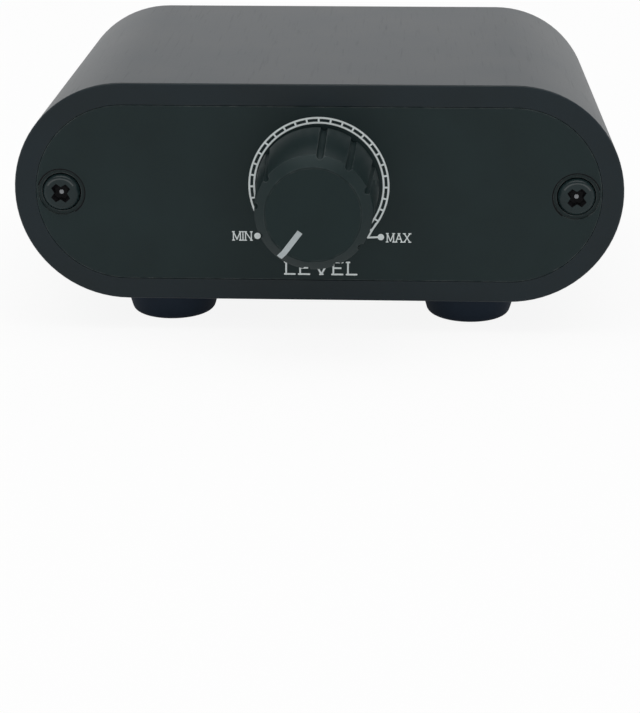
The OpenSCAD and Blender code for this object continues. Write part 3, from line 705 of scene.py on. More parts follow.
def screw_tree():
    """Two screws side by side, each with its own turn."""
    tree, ask, result = geometry_tree("Screw pair", [
        ("Screw", "Object"), ("Reach", "Float"), ("First Turn", "Float"), ("Second Turn", "Float"),
        ("Material", "Material")])
    line = add_node(tree, "GeometryNodeMeshLine", Count=2)
    single = add_node(tree, "GeometryNodeObjectInfo", As_Instance=True)
    copies = tree.nodes.new("GeometryNodeInstanceOnPoints")
    index = tree.nodes.new("GeometryNodeInputIndex").outputs["Index"]
    reach = ask["Reach"]
    first = add_math(tree, "MULTIPLY", ask["First Turn"], add_math(tree, "SUBTRACT", 1.0, index))
    second = add_math(tree, "MULTIPLY", ask["Second Turn"], index)
    wire(tree,
         (combine(tree, add_math(tree, "MULTIPLY", reach, -1.0)), line.inputs["Start Location"]),
         (combine(tree, add_math(tree, "MULTIPLY", reach, 2.0)), line.inputs["Offset"]),
         (ask["Screw"], single.inputs["Object"]),
         (line.outputs["Mesh"], copies.inputs["Points"]),
         (single.outputs["Geometry"], copies.inputs["Instance"]),
         (combine(tree, z=add_math(tree, "ADD", first, second)), copies.inputs["Rotation"]))
    end_tree(tree, ask, result, copies.outputs["Instances"])
    return tree


def groove_tree():
    """Grip grooves in groups round a tapered knob, cut from the body that comes in."""
    tree, ask, result = geometry_tree("Grip grooves", [
        ("Groups", "Int"), ("Group Size", "Int"), ("Step", "Float"), ("Width", "Float"), ("Centre", "Float"),
        ("Base", "Float"), ("Height", "Float"), ("Taper", "Float"), ("Material", "Material")])
    count = add_math(tree, "MULTIPLY", ask["Groups"], ask["Group Size"])
    index = tree.nodes.new("GeometryNodeInputIndex").outputs["Index"]
    group = add_math(tree, "FLOOR", add_math(tree, "DIVIDE", index, ask["Group Size"]))
    place = add_math(tree, "MODULO", index, ask["Group Size"])
    middle = add_math(tree, "DIVIDE", add_math(tree, "SUBTRACT", ask["Group Size"], 1.0), 2.0)
    share = add_math(tree, "DIVIDE", math.tau, ask["Groups"])
    turn = add_math(
        tree, "ADD", add_math(tree, "MULTIPLY", share, add_math(tree, "ADD", group, 0.5)),
        add_math(tree, "MULTIPLY", ask["Step"], add_math(tree, "SUBTRACT", place, middle)))
    line = tree.nodes.new("GeometryNodeMeshLine")
    spot = tree.nodes.new("GeometryNodeSetPosition")
    rod = add_node(tree, "GeometryNodeMeshCylinder", Vertices=48)
    raised = tree.nodes.new("GeometryNodeTransform")
    copies = tree.nodes.new("GeometryNodeInstanceOnPoints")
    real = tree.nodes.new("GeometryNodeRealizeInstances")
    cut = tree.nodes.new("GeometryNodeMeshBoolean")
    cut.solver = "EXACT"
    leftward = add_math(tree, "MULTIPLY", add_math(tree, "SINE", turn), -1.0)
    across = add_math(tree, "MULTIPLY", ask["Centre"], leftward)
    upward = add_math(tree, "MULTIPLY", ask["Centre"], add_math(tree, "COSINE", turn))
    wire(tree,
         (count, line.inputs["Count"]),
         (line.outputs["Mesh"], spot.inputs["Geometry"]),
         (combine(tree, across, upward, ask["Base"]), spot.inputs["Position"]),
         (add_math(tree, "DIVIDE", ask["Width"], 2.0), rod.inputs["Radius"]),
         (add_math(tree, "MULTIPLY", ask["Height"], CUTTER_REACH), rod.inputs["Depth"]),
         (rod.outputs["Mesh"], raised.inputs["Geometry"]),
         (combine(tree, z=add_math(tree, "DIVIDE", ask["Height"], 2.0)), raised.inputs["Translation"]),
         (spot.outputs["Geometry"], copies.inputs["Points"]),
         (raised.outputs["Geometry"], copies.inputs["Instance"]),
         (combine(tree, x=ask["Taper"], z=turn), copies.inputs["Rotation"]),
         (copies.outputs["Instances"], real.inputs["Geometry"]),
         (ask["Geometry"], cut.inputs["Mesh 1"]),
         (real.outputs["Geometry"], cut.inputs["Mesh 2"]))
    end_tree(tree, ask, result, cut.outputs["Mesh"])
    return tree


def ribbon(tree, ask, curve):
    """A flat ribbon of print along a curve in the print plane."""
    upright = tree.nodes.new("GeometryNodeSetCurveNormal")
    upright.mode = "Z_UP"
    section = tree.nodes.new("GeometryNodeCurvePrimitiveQuadrilateral")
    strip = add_node(tree, "GeometryNodeCurveToMesh", Fill_Caps=True)
    wire(tree,
         (curve, upright.inputs["Curve"]),
         (ask["Line"], section.inputs["Width"]),
         (ask["Film"], section.inputs["Height"]),
         (upright.outputs["Curve"], strip.inputs["Curve"]),
         (section.outputs["Curve"], strip.inputs["Profile Curve"]))
    return strip.outputs["Mesh"]


def stroke_tree():
    """Printed strokes: a ribbon along every edge line that comes in, with a round spot at each end."""
    tree, ask, result = geometry_tree("Printed strokes", [
        ("Line", "Float"), ("Film", "Float"), ("Material", "Material")])
    path = tree.nodes.new("GeometryNodeMeshToCurve")
    ends = tree.nodes.new("GeometryNodeCurveEndpointSelection")
    spot = add_node(tree, "GeometryNodeMeshCylinder", Vertices=16)
    copies = tree.nodes.new("GeometryNodeInstanceOnPoints")
    both = tree.nodes.new("GeometryNodeJoinGeometry")
    wire(tree,
         (ask["Geometry"], path.inputs["Mesh"]),
         (add_math(tree, "DIVIDE", ask["Line"], 2.0), spot.inputs["Radius"]),
         (add_math(tree, "MULTIPLY", ask["Film"], END_FILM), spot.inputs["Depth"]),
         (path.outputs["Curve"], copies.inputs["Points"]),
         (ends.outputs["Selection"], copies.inputs["Selection"]),
         (spot.outputs["Mesh"], copies.inputs["Instance"]),
         (ribbon(tree, ask, path.outputs["Curve"]), both.inputs["Geometry"]),
         (copies.outputs["Instances"], both.inputs["Geometry"]))
    end_tree(tree, ask, result, both.outputs["Geometry"])
    return tree


def scale_tree():
    """Dial scale: two arcs joined by evenly spaced rungs."""
    tree, ask, result = geometry_tree("Dial scale", [
        ("Inner", "Float"), ("Outer", "Float"), ("Start", "Float"), ("Sweep", "Float"), ("Rungs", "Int"),
        ("Line", "Float"), ("Film", "Float"), ("Material", "Material")])
    both = tree.nodes.new("GeometryNodeJoinGeometry")

    def arc(radius):
        node = add_node(tree, "GeometryNodeCurveArc", Resolution=128)
        wire(tree, (radius, node.inputs["Radius"]), (ask["Start"], node.inputs["Start Angle"]),
             (ask["Sweep"], node.inputs["Sweep Angle"]))
        return node.outputs["Curve"]

    for radius in (ask["Inner"], ask["Outer"]):
        wire(tree, (ribbon(tree, ask, arc(radius)), both.inputs["Geometry"]))
    middle = add_math(tree, "DIVIDE", add_math(tree, "ADD", ask["Inner"], ask["Outer"]), 2.0)
    stations = tree.nodes.new("GeometryNodeCurveToPoints")
    rung = tree.nodes.new("GeometryNodeMeshCube")
    copies = tree.nodes.new("GeometryNodeInstanceOnPoints")
    index = tree.nodes.new("GeometryNodeInputIndex").outputs["Index"]
    step = add_math(tree, "DIVIDE", ask["Sweep"], add_math(tree, "SUBTRACT", ask["Rungs"], 1.0))
    turn = add_math(tree, "ADD", ask["Start"], add_math(tree, "MULTIPLY", index, step))
    across = add_math(tree, "SUBTRACT", ask["Outer"], ask["Inner"])
    thin = add_math(tree, "MULTIPLY", ask["Film"], RUNG_FILM)
    wire(tree,
         (arc(middle), stations.inputs["Curve"]),
         (ask["Rungs"], stations.inputs["Count"]),
         (combine(tree, across, ask["Line"], thin), rung.inputs["Size"]),
         (stations.outputs["Points"], copies.inputs["Points"]),
         (rung.outputs["Mesh"], copies.inputs["Instance"]),
         (combine(tree, z=turn), copies.inputs["Rotation"]),
         (copies.outputs["Instances"], both.inputs["Geometry"]))
    end_tree(tree, ask, result, both.outputs["Geometry"])
    return tree


# Lettering: each letter is its width and its strokes, in parts of its height

def bow(x, y, across, upward, start, end, steps=20):
    """An arc of an ellipse as a stroke, between two angles in degrees."""
    turns = [math.radians(start + (end - start) * k / steps) for k in range(steps + 1)]
    return [(x + across * math.cos(turn), y + upward * math.sin(turn)) for turn in turns]


LETTERS = {
    "A": (0.80, [[(0, 0), (0.4, 1)], [(0.4, 1), (0.8, 0)], [(0.15, 0.36), (0.65, 0.36)]]),
    "E": (0.56, [[(0, 0), (0, 1)], [(0, 1), (0.56, 1)], [(0, 0.52), (0.44, 0.52)], [(0, 0), (0.56, 0)]]),
    "I": (0.0, [[(0, 0), (0, 1)]]),
    "L": (0.52, [[(0, 1), (0, 0)], [(0, 0), (0.52, 0)]]),
    "M": (0.86, [[(0, 0), (0, 1)], [(0, 1), (0.43, 0.1)], [(0.43, 0.1), (0.86, 1)], [(0.86, 1), (0.86, 0)]]),
    "N": (0.72, [[(0, 0), (0, 1)], [(0, 1), (0.72, 0)], [(0.72, 0), (0.72, 1)]]),
    "O": (0.80, [bow(0.4, 0.5, 0.4, 0.5, 0, 354)]),
    "T": (0.70, [[(0, 1), (0.7, 1)], [(0.35, 1), (0.35, 0)]]),
    "U": (0.72, [[(0, 1), (0, 0.36)], bow(0.36, 0.36, 0.36, 0.36, 180, 360), [(0.72, 0.36), (0.72, 1)]]),
    "V": (0.80, [[(0, 1), (0.4, 0)], [(0.4, 0), (0.8, 1)]]),
    "X": (0.76, [[(0, 0), (0.76, 1)], [(0, 1), (0.76, 0)]]),
    " ": (0.30, []),
}
LETTER_GAP = 0.32
SERIF = 0.11


def word_strokes(word, left, right, base, cap, serif=False):
    """Strokes of a word that fills the width from left to right on a base line, ends in millimetres."""
    natural = sum(LETTERS[letter][0] for letter in word) + LETTER_GAP * (len(word) - 1)
    stretch = (right - left) * MM / natural
    strokes = []
    x = left * MM
    for letter in word:
        width, lines = LETTERS[letter]
        for line in lines:
            placed = [(x + px * stretch, base * MM + py * cap) for px, py in line]
            strokes.append(placed)
            if serif and line[0][1] != line[-1][1]:
                for (_, py), (end_x, end_y) in ((line[0], placed[0]), (line[-1], placed[-1])):
                    if py in (0, 1):
                        strokes.append([(end_x - SERIF * cap, end_y), (end_x + SERIF * cap, end_y)])
        x += (width + LETTER_GAP) * stretch
    return strokes


def text_strokes(words, cap, serif=False):
    """Strokes of rows of words, each its text, ends and base line."""
    return [stroke for row in words for stroke in word_strokes(*row, cap, serif)]


def print_strokes(strokes, place, line, film):
    """A mesh of printed strokes, laid on a panel."""
    bm = bmesh.new()
    for i, stroke in enumerate(strokes):
        lift = film * LIFT_SHARE * (i % LIFT_STEPS)
        points = [bm.verts.new((x, y, lift)) for x, y in stroke]
        for first, second in zip(points, points[1:]):
            bm.edges.new((first, second))
    lines = bpy.data.meshes.new("strokes")
    bm.to_mesh(lines)
    bm.free()
    tree = bpy.data.node_groups.get("Printed strokes") or stroke_tree()
    mesh = grown(lines, tree, Line=line, Film=film, Material=finish("ink"))
    mesh.transform(place @ Matrix.Translation((0.0, 0.0, film / 2)))
    return mesh


# Pieces

def build_case(sizes):
    """The tube with its mouths, and the bosses and rails inside it."""
    bm = bmesh.new()
    section = eased([
        (0.0, FRONT_Y, sizes.edge), (0.0, REAR_Y, sizes.edge),
        (sizes.rim, REAR_Y, sizes.lip), (sizes.rim, REAR_Y - PANEL_T, 0.0),
        (sizes.wall, REAR_Y - PANEL_T, 0.0), (sizes.wall, FRONT_Y + PANEL_T, 0.0),
        (sizes.rim, FRONT_Y + PANEL_T, 0.0), (sizes.rim, FRONT_Y, sizes.lip)], steps=4)
    rings = []
    for inset, y in section:
        points = round_ended(CASE_WIDTH - 2 * inset, CASE_HEIGHT - 2 * inset)
        rings.append([bm.verts.new((x, y, MID_Z + z)) for x, z in points])
    for first, second in zip(rings, rings[1:] + rings[:1]):
        join_rings(bm, first, second)
    low, high = FRONT_Y + PANEL_T, REAR_Y - PANEL_T
    board_low, board_high = BOXES["main_board"]
    mid_wall = CASE_HEIGHT / 2 - sizes.wall / 2
    straight = (CASE_WIDTH - CASE_HEIGHT) / 2
    bore_r, boss_r = sizes.boss_bore_r, sizes.boss_r
    boss = [(bore_r, -low), (boss_r, -low), (boss_r, -high), (bore_r, -high)]
    for side in (1, -1):
        lathe(bm, facing(side * SCREW_X, 0.0, MID_Z), boss, steps=40, closed=True)
        web = sorted((side * (SCREW_X + boss_r * WEB_START), side * (straight + mid_wall)))
        add_bar(bm, (web[0], low, MID_Z - sizes.boss_web / 2), (web[1], high, MID_Z + sizes.boss_web / 2))
        for z in (board_low.z - sizes.rail_t, board_high.z):
            drop = MID_Z - z - sizes.rail_t
            rail = sorted((side * (board_high.x - sizes.rail_grip),
                           side * (straight + math.sqrt(mid_wall ** 2 - drop ** 2))))
            add_bar(bm, (rail[0], low, z), (rail[1], high, z + sizes.rail_t))
    add_piece("case_tube", closed_mesh(bm, finish("case_black")), "case", "case_black", "case_shell")


def drilled_plate(place, width, height, rows, holes, steps=64):
    """A round-ended plate. Rows are (inset, depth) from the face to the back; a hole is its centre and
    rows of (radius, depth, material of the wall that follows)."""
    bm = bmesh.new()
    stacks = [[(add_ring(bm, place, round_ended(width - 2 * inset, height - 2 * inset), -depth), 0)
               for inset, depth in rows]]
    for x, y, walls in holes:
        stacks.append([(add_ring(bm, place, circle(radius, steps, x, y), -depth), material)
                       for radius, depth, material in walls])
    for stack in stacks:
        for (first, material), (second, _) in zip(stack, stack[1:]):
            join_rings(bm, first, second, material)
    for end in (0, -1):
        loops = [stack[end][0] for stack in stacks]
        edges = [bm.edges.get((a, b)) for loop in loops for a, b in zip(loop, loop[1:] + loop[:1])]
        bmesh.ops.triangle_fill(bm, use_beauty=True, edges=edges)
    return bm


def shaded(mesh):
    """Keeps the near black painted as shade on a recess's edges and walls only on faces above and towards the
    middle, where little light falls; the other faces take the panel's coat again.
    """
    side_share, lit = 0.7, 0.2
    for face in mesh.polygons:
        outward = math.copysign(1.0, face.center.x) * face.normal.x
        if face.material_index == PAINTED_SHADE and face.normal.z - side_share * outward > lit:
            face.material_index = COAT
    return mesh


def build_panels(sizes):
    """Front and rear panels with their screw recesses and holes."""
    low, high = BOXES["front_panel"]
    width, height = high.x - low.x + 2 * sizes.fill, high.z - low.z + 2 * sizes.fill
    ease = sizes.edge
    inner = ease * 4
    rows = eased([(0.0, 0.0, ease), (0.0, PANEL_T, ease), (inner, PANEL_T, 0.0), (inner, 0.0, 0.0)], 3)[:-2]
    mouth_r, seat_r, hole_r = sizes.counterbore_r, SCREW_R + sizes.seat_gap, sizes.screw_hole_r
    edge_slope = 0.6

    def recesses(line):
        # The edge round the mouth, the seat's wall and the screw hole's wall are painted near black as shade
        walls = [
            (mouth_r + line, 0.0, PAINTED_SHADE), (mouth_r, line * edge_slope, COAT), (mouth_r, sizes.mouth_h, COAT),
            (seat_r, sizes.mouth_h, PAINTED_SHADE), (seat_r, sizes.counterbore_h, PAINTED_SHADE),
            (hole_r, sizes.counterbore_h, PAINTED_SHADE), (hole_r, PANEL_T, PAINTED_SHADE)]
        return [(-SCREW_X, 0.0, walls), (SCREW_X, 0.0, walls)]

    hole = sizes.bushing_hole_r
    shaft = [(hole + ease, 0.0, COAT), (hole, ease, COAT), (hole, PANEL_T, COAT)]
    front = drilled_plate(
        facing(0.0, FRONT_Y, MID_Z), width, height, rows,
        [*recesses(sizes.front_line), (0.0, KNOB_AXIS.z - MID_Z, shaft)])
    # The second material is the near black painted as shade in the recesses
    coats = [finish("panel_black"), finish("bore_black"), finish("bare_metal")]
    add_piece("front_plate", shaded(closed_mesh(front, *coats[:2])), "case", "panel_black", "front_panel")
    hole, cut = sizes.socket_hole_r, sizes.chamfer
    collar = [(hole + cut * across, cut * depth, coat) for across, depth, coat in COLLAR_RINGS]
    collar.append((hole, PANEL_T, COAT))
    sockets = []
    for name in SOCKETS:
        low, high = BOXES[name + "_insert"]
        sockets.append((-(low.x + high.x) / 2, SOCKET_RISE, collar))
    rear = drilled_plate(
        facing(0.0, REAR_Y, MID_Z, True), width, height, rows, [*recesses(sizes.rear_line), *sockets])
    add_piece("rear_plate", shaded(closed_mesh(rear, *coats)), "case", "panel_black", "rear_panel")


def screw_materials():
    """Materials of a screw: its coat, a glossier coat painted as a highlight on the head's edge, a near black
    painted as shade on the recess's wall, and bright metal painted as a glint at the recess's end.
    """
    return [finish(name) for name in ("screw_black", "screw_edge", "bore_black", "screw_tip")]


def cross_cutter(sizes):
    """The solid that leaves a cross recess, with arms that widen to the middle, in a screw's head."""
    bm = bmesh.new()
    above, corner_share = 0.3 * MM, 1.4
    # Height of a section of the recess, and the length and width of its arms as shares of the full ones
    sections = ((above, 1.1, 1.06), (-sizes.recess_h * 0.75, 0.64, 0.8), (-sizes.recess_h, 0.2, 0.3))
    rings = []
    for height, long, wide in sections:
        tip, half = sizes.recess_span / 2 * long, sizes.recess_w / 2 * wide
        corner = half * corner_share
        points = []
        for turn in range(4):
            spin = Matrix.Rotation(turn * math.pi / 2, 2)
            points += [spin @ Vector(point) for point in ((tip, -half), (tip, half), (corner, corner))]
        rings.append(add_ring(bm, Matrix.Identity(4), points, height))
    for first, second in zip(rings, rings[1:]):
        # The recess's walls are painted near black as shade, and its end is bright metal painted as a glint
        join_rings(bm, first, second, RECESS_SHADE)
    bm.faces.new(rings[0])
    bm.faces.new(rings[-1]).material_index = RECESS_GLINT
    return closed_mesh(bm, *screw_materials())


def build_screws(sizes):
    """Both pairs of panel screws."""
    total = BOXES["front_screws"][1].y - BOXES["front_screws"][0].y
    flat_r = SCREW_R - sizes.head_round
    crown_r, under_ease = SCREW_R * 0.4, 0.1 * MM

    def head_part(radius, height):
        # The inner half of the head's rounding takes the painted highlight
        on_edge = 0.0 < radius - flat_r < sizes.head_round / 2 and height > -sizes.head_round
        return HEAD_HIGHLIGHT if on_edge else HEAD_COAT

    bm = bmesh.new()
    lathe(bm, Matrix.Identity(4), [
        (0.0, 0.0), *eased([
            (crown_r, 0.0, 0.0), (SCREW_R, 0.0, sizes.head_round), (SCREW_R, -sizes.head_h, under_ease),
            (sizes.shank_r, -sizes.head_h, 0.0)]),
        (sizes.shank_r, -total + sizes.shank_r / 2), (sizes.shank_r / 2, -total), (0.0, -total)],
        steps=64, material=head_part)
    solid = carved(closed_mesh(bm, *screw_materials()), cross_cutter(sizes))
    single = bpy.data.objects.new("screw", solid)
    bpy.context.scene.collection.objects.link(single)
    tree = screw_tree()
    # Only faces of a head's edge that look up by this much keep the painted highlight; the others take the
    # head's coat again
    highlight_rise = 0.2
    for side, first, second in (("front", sizes.turn_front_left, sizes.turn_front_right),
                                ("rear", sizes.turn_rear_left, sizes.turn_rear_right)):
        low, high = BOXES[side + "_screws"]
        rear = side == "rear"
        mesh = grown(bpy.data.meshes.new("spot"), tree, Screw=single, Reach=SCREW_X, First_Turn=first,
                     Second_Turn=second, Material=finish("screw_black"))
        mesh.transform(facing(0.0, high.y if rear else low.y, MID_Z, rear))
        for face in mesh.polygons:
            if face.material_index == HEAD_HIGHLIGHT and face.normal.z < highlight_rise:
                face.material_index = HEAD_COAT
        add_piece(side + "_screw_pair", mesh, "case", "screw_black", side + "_screws", sharp=30.0)
    bpy.data.objects.remove(single)


def build_feet(sizes):
    """The four rubber feet."""
    for name in ("foot_front_left", "foot_front_right", "foot_rear_left", "foot_rear_right"):
        low, high = BOXES[name]
        top = (high.x - low.x) / 2
        middle = (low + high) / 2
        bm = bmesh.new()
        outline = eased([
            (0.0, low.z, 0.0), (sizes.ground_r, low.z, sizes.edge), (top, high.z, 0.0), (0.0, high.z, 0.0)])
        lathe(bm, Matrix.Translation((middle.x, middle.y, 0.0)), outline)
        add_piece(name + "_pad", closed_mesh(bm, finish("rubber")), "case", "rubber", name)


def build_knob(sizes):
    """The knob with its grip grooves, and the white line on it."""
    low, high = BOXES["knob"]
    base, top = KNOB_AXIS.y - high.y, KNOB_AXIS.y - low.y
    place = facing(*KNOB_AXIS) @ Matrix.Rotation(sizes.line_rest, 4, "Z")
    ring_in, ring_out = sizes.ring_r - sizes.ring_w / 2, sizes.ring_r + sizes.ring_w / 2
    ring_ease, base_ease = 0.02 * MM, 0.1 * MM
    outline = eased([
        (0.0, top, 0.0), (ring_in, top, ring_ease), (ring_in, top - sizes.ring_h, 0.0),
        (ring_out, top - sizes.ring_h, 0.0), (ring_out, top, 0.0), (sizes.face_r, top, sizes.face_round),
        (sizes.shoulder_r, top - sizes.chamfer, sizes.shoulder_round), (sizes.base_r, base, base_ease),
        (sizes.skirt_r, base, 0.0), (sizes.skirt_r, sizes.skirt_h, 0.0), (sizes.bore_r, sizes.skirt_h, 0.0),
        (sizes.bore_r, top - sizes.bore_top, 0.0), (0.0, top - sizes.bore_top, 0.0)])
    bm = bmesh.new()
    lathe(bm, Matrix.Identity(4), outline, steps=144)
    taper = math.atan((sizes.base_r - sizes.shoulder_r) / (top - sizes.chamfer - base))
    centre = sizes.base_r - sizes.groove_h + sizes.groove_w / 2
    mesh = grown(
        closed_mesh(bm), groove_tree(), Groups=sizes.groove_groups, Group_Size=sizes.group_size,
        Step=sizes.groove_step, Width=sizes.groove_w, Centre=centre,
        Base=base, Height=top - base, Taper=taper, Material=finish("knob_black"))
    mesh.transform(place)
    add_piece("knob_cap", mesh, "control", "knob_black", "knob", sharp=32.0)
    build_knob_line(sizes, place, top)


def build_knob_line(sizes, place, top):
    """The white line that follows the knob's face and chamfer."""
    proud, sunk, half = 0.02 * MM, 0.3 * MM, sizes.line_w / 2
    slope = sizes.chamfer / (sizes.shoulder_r - sizes.face_r)
    end_z = top - slope * (sizes.line_end - sizes.face_r)
    bm = bmesh.new()
    path = [(sizes.line_start, top), (sizes.face_r, top), (sizes.line_end, end_z)]
    rings = []
    for y, z in path:
        rings.append(add_ring(bm, place, [(-half, y), (half, y)], z + proud)
                     + add_ring(bm, place, [(half, y), (-half, y)], z - sunk))
    for first, second in zip(rings, rings[1:]):
        join_rings(bm, first, second)
    bm.faces.new(rings[0])
    bm.faces.new(rings[-1])
    mesh = closed_mesh(bm, finish("pointer_white"))
    add_piece("knob_line", mesh, "control", "pointer_white", "knob_pointer")


def build_sockets(sizes):
    """The gilt barrels and their coloured cores."""
    for name in SOCKETS:
        low, high = BOXES[name + "_insert"]
        place = facing((low.x + high.x) / 2, REAR_Y, MID_Z + SOCKET_RISE, True)
        core_r = (high.x - low.x) / 2
        build_barrel(name, sizes, place, core_r)
        build_core(name, sizes, place, core_r)


def build_barrel(name, sizes, place, core_r):
    """A gilt barrel, thinner in the panel, with a turned ring near its base and an earth tail."""
    gap, ring_ease, step_ease, bore_gap = 0.02 * MM, 0.03 * MM, 0.05 * MM, 0.2 * MM
    low, high = BOXES[name + "_shell"]
    tip, back = high.y - REAR_Y, low.y - REAR_Y
    inner, thin_r, ring_r = core_r + gap, SHELL_R - sizes.step, SHELL_R - sizes.ring_h
    ring_back, ring_front = sizes.ring_out - sizes.ring_w / 2, sizes.ring_out + sizes.ring_w / 2
    bm = bmesh.new()
    lathe(bm, place, eased([
        (inner, back, 0.0), (thin_r, back, 0.0), (thin_r, -sizes.step_in, 0.0),
        (SHELL_R, -sizes.step_in, step_ease), (SHELL_R, ring_back, ring_ease), (ring_r, ring_back, ring_ease),
        (ring_r, ring_front, ring_ease), (SHELL_R, ring_front, ring_ease), (SHELL_R, tip, sizes.lip),
        (inner, tip, sizes.inner_lip)], steps=8), steps=128, closed=True)
    add_bar(bm, (-sizes.tail_w / 2, low.z - MID_Z - SOCKET_RISE, back),
            (sizes.tail_w / 2, -inner - bore_gap, back + sizes.tail_t), place)
    add_piece(name + "_barrel", closed_mesh(bm, finish("gilt")), "case", "gilt", name + "_shell", sharp=45.0)


def build_core(name, sizes, place, core_r):
    """A red or white core with a hole for a plug's pin, whose wall is painted dark as shade."""
    core_ease, margin = 0.12 * MM, 0.01 * MM
    low, high = BOXES[name + "_insert"]
    front, rear = high.y - REAR_Y, low.y - REAR_Y
    pin_end = front - sizes.pin_len
    slot = "insert_red" if name.endswith("right") else "insert_white"

    # The pin hole's wall takes the dark grey painted as shade
    def core_part(radius, height):
        return PAINTED_SHADE if radius < sizes.pin_r + margin and height < front else COAT

    bm = bmesh.new()
    lathe(bm, place, eased([
        (sizes.pin_r, pin_end, 0.0), (sizes.pin_r, front, sizes.pin_lip), (core_r, front, core_ease),
        (core_r, rear, 0.0), (sizes.room_r, rear, 0.0), (sizes.room_r, pin_end, 0.0)]),
        closed=True, material=core_part)
    mesh = closed_mesh(bm, finish(slot), finish("pin_hole"))
    add_piece(name + "_core", mesh, "case", slot, name + "_insert", sharp=45.0)


def build_print(sizes):
    """The dial scale, the words and the bands printed on the panels."""
    rise = KNOB_AXIS.z - MID_Z
    front = facing(0.0, FRONT_Y, MID_Z)
    film = sizes.film
    scale = grown(
        bpy.data.meshes.new("spot"), scale_tree(), Inner=sizes.scale_inner, Outer=sizes.scale_outer,
        Start=math.pi / 2 - sizes.scale_end, Sweep=2 * sizes.scale_end, Rungs=sizes.scale_rungs,
        Line=sizes.scale_line, Film=film, Material=finish("ink"))
    scale.transform(front @ Matrix.Translation((sizes.scale_shift, rise, film / 2)))
    add_piece("dial_scale", scale, "case", "pointer_white")
    lead = print_strokes(
        [[LEAD_START, LEAD_BEND], [LEAD_BEND, SCALE_DOTS[1]]], front, sizes.scale_line, film * LEAD_FILM)
    add_piece("scale_lead", lead, "case", "pointer_white")
    words = text_strokes(SCALE_WORDS, sizes.small_cap, True)
    add_piece("scale_words", print_strokes(words, front, sizes.small_line, film), "case", "pointer_white")
    word = text_strokes(DIAL_WORDS, sizes.name_cap, True)
    add_piece("dial_word", print_strokes(word, front, sizes.name_line, film), "case", "pointer_white")
    bm = bmesh.new()
    dot_film = film * DOT_FILM
    for x, y in SCALE_DOTS:
        spot = [(0.0, 0.0), (sizes.dot_r, 0.0), (sizes.dot_r, dot_film), (0.0, dot_film)]
        lathe(bm, front @ Matrix.Translation((x, y, 0.0)), spot, steps=32)
    add_piece("scale_dots", closed_mesh(bm, finish("ink")), "case", "pointer_white")
    rear = facing(0.0, REAR_Y, MID_Z, True)
    legends = text_strokes(SOCKET_WORDS, sizes.legend_cap)
    add_piece("socket_words", print_strokes(legends, rear, sizes.legend_line, film), "case", "pointer_white")
    panel = setup("panel")
    build_bands(rear, panel.socket_hole_r + panel.chamfer, film, sizes.band_line)


def build_bands(place, radius, film, line, steps=48):
    """Grey bands between the sockets of each pair, hollowed round the holes, with a pale line along the
    upper and the lower edge."""
    spots = [-sum(corner.x for corner in BOXES[name + "_insert"]) / 2 for name in SOCKETS]
    bm = bmesh.new()
    edges = []
    for left, right in (spots[:2], spots[2:]):
        rows = []
        for k in range(steps + 1):
            turn = math.pi * (k / steps - 0.5)
            hollow = radius * math.cos(turn)
            y = SOCKET_RISE + radius * math.sin(turn)
            ends = [(left + hollow, y), (right - hollow, y)]
            rows.append(add_ring(bm, place, ends, film) + add_ring(bm, place, ends[::-1], 0.0))
        for first, second in zip(rows, rows[1:]):
            join_rings(bm, first, second)
        bm.faces.new(rows[0])
        bm.faces.new(rows[-1])
        for side in (-1, 1):
            y = SOCKET_RISE + side * (radius - line / 2)
            inset = math.sqrt(radius ** 2 - (radius - line) ** 2)
            edges.append([(left + inset, y), (right - inset, y)])
    add_piece("socket_bands", closed_mesh(bm, finish("band_grey")), "case", "pointer_white")
    lift = place @ Matrix.Translation((0.0, 0.0, film * BAND_LIFT))
    add_piece("band_lines", print_strokes(edges, lift, line, film), "case", "pointer_white")


def finish_kept_nodes():
    """Gives the CAD pieces that stay their materials."""
    looks = dict(KEPT_NODES)
    for name in SOCKETS:
        looks[name + "_housing"] = "moulding_black"
        looks[name + "_contact"] = "contact"
    for name, look in looks.items():
        node = frame["nodes"][name]
        if not node.material_slots:
            node.data.materials.append(finish(look))
        for slot in node.material_slots:
            slot.material = finish(look)


def seen_ray(tree, straight=1.0, mirrored=1.0):
    """The shares for the rays that show the background: the camera's, and those of mirrors and glass."""
    path = tree.nodes.new("ShaderNodeLightPath").outputs
    bent = add_math(tree, "MAXIMUM", path["Is Glossy Ray"], path["Is Transmission Ray"])
    return add_math(tree, "MAXIMUM", add_math(tree, "MULTIPLY", path["Is Camera Ray"], straight),
                    add_math(tree, "MULTIPLY", bent, mirrored))


def floor_material(stage):
    """A pale floor that is seen mostly as white and still shows the object's shadow."""
    material = surface(
        "floor", stage.floor, roughness=0.8, specular=0.1, spread=0.004, rough_spread=0.02, relief=0.001,
        grain=400.0)
    tree = material.node_tree
    white = add_node(tree, "ShaderNodeEmission", Strength=1.0)
    blend = tree.nodes.new("ShaderNodeMixShader")
    wire(tree,
         (seen_ray(tree, stage.white, stage.mirrored), blend.inputs["Fac"]),
         (tree.nodes["Principled BSDF"].outputs["BSDF"], blend.inputs[1]),
         (white.outputs["Emission"], blend.inputs[2]),
         (blend.outputs["Shader"], tree.nodes["Material Output"].inputs["Surface"]))
    return material


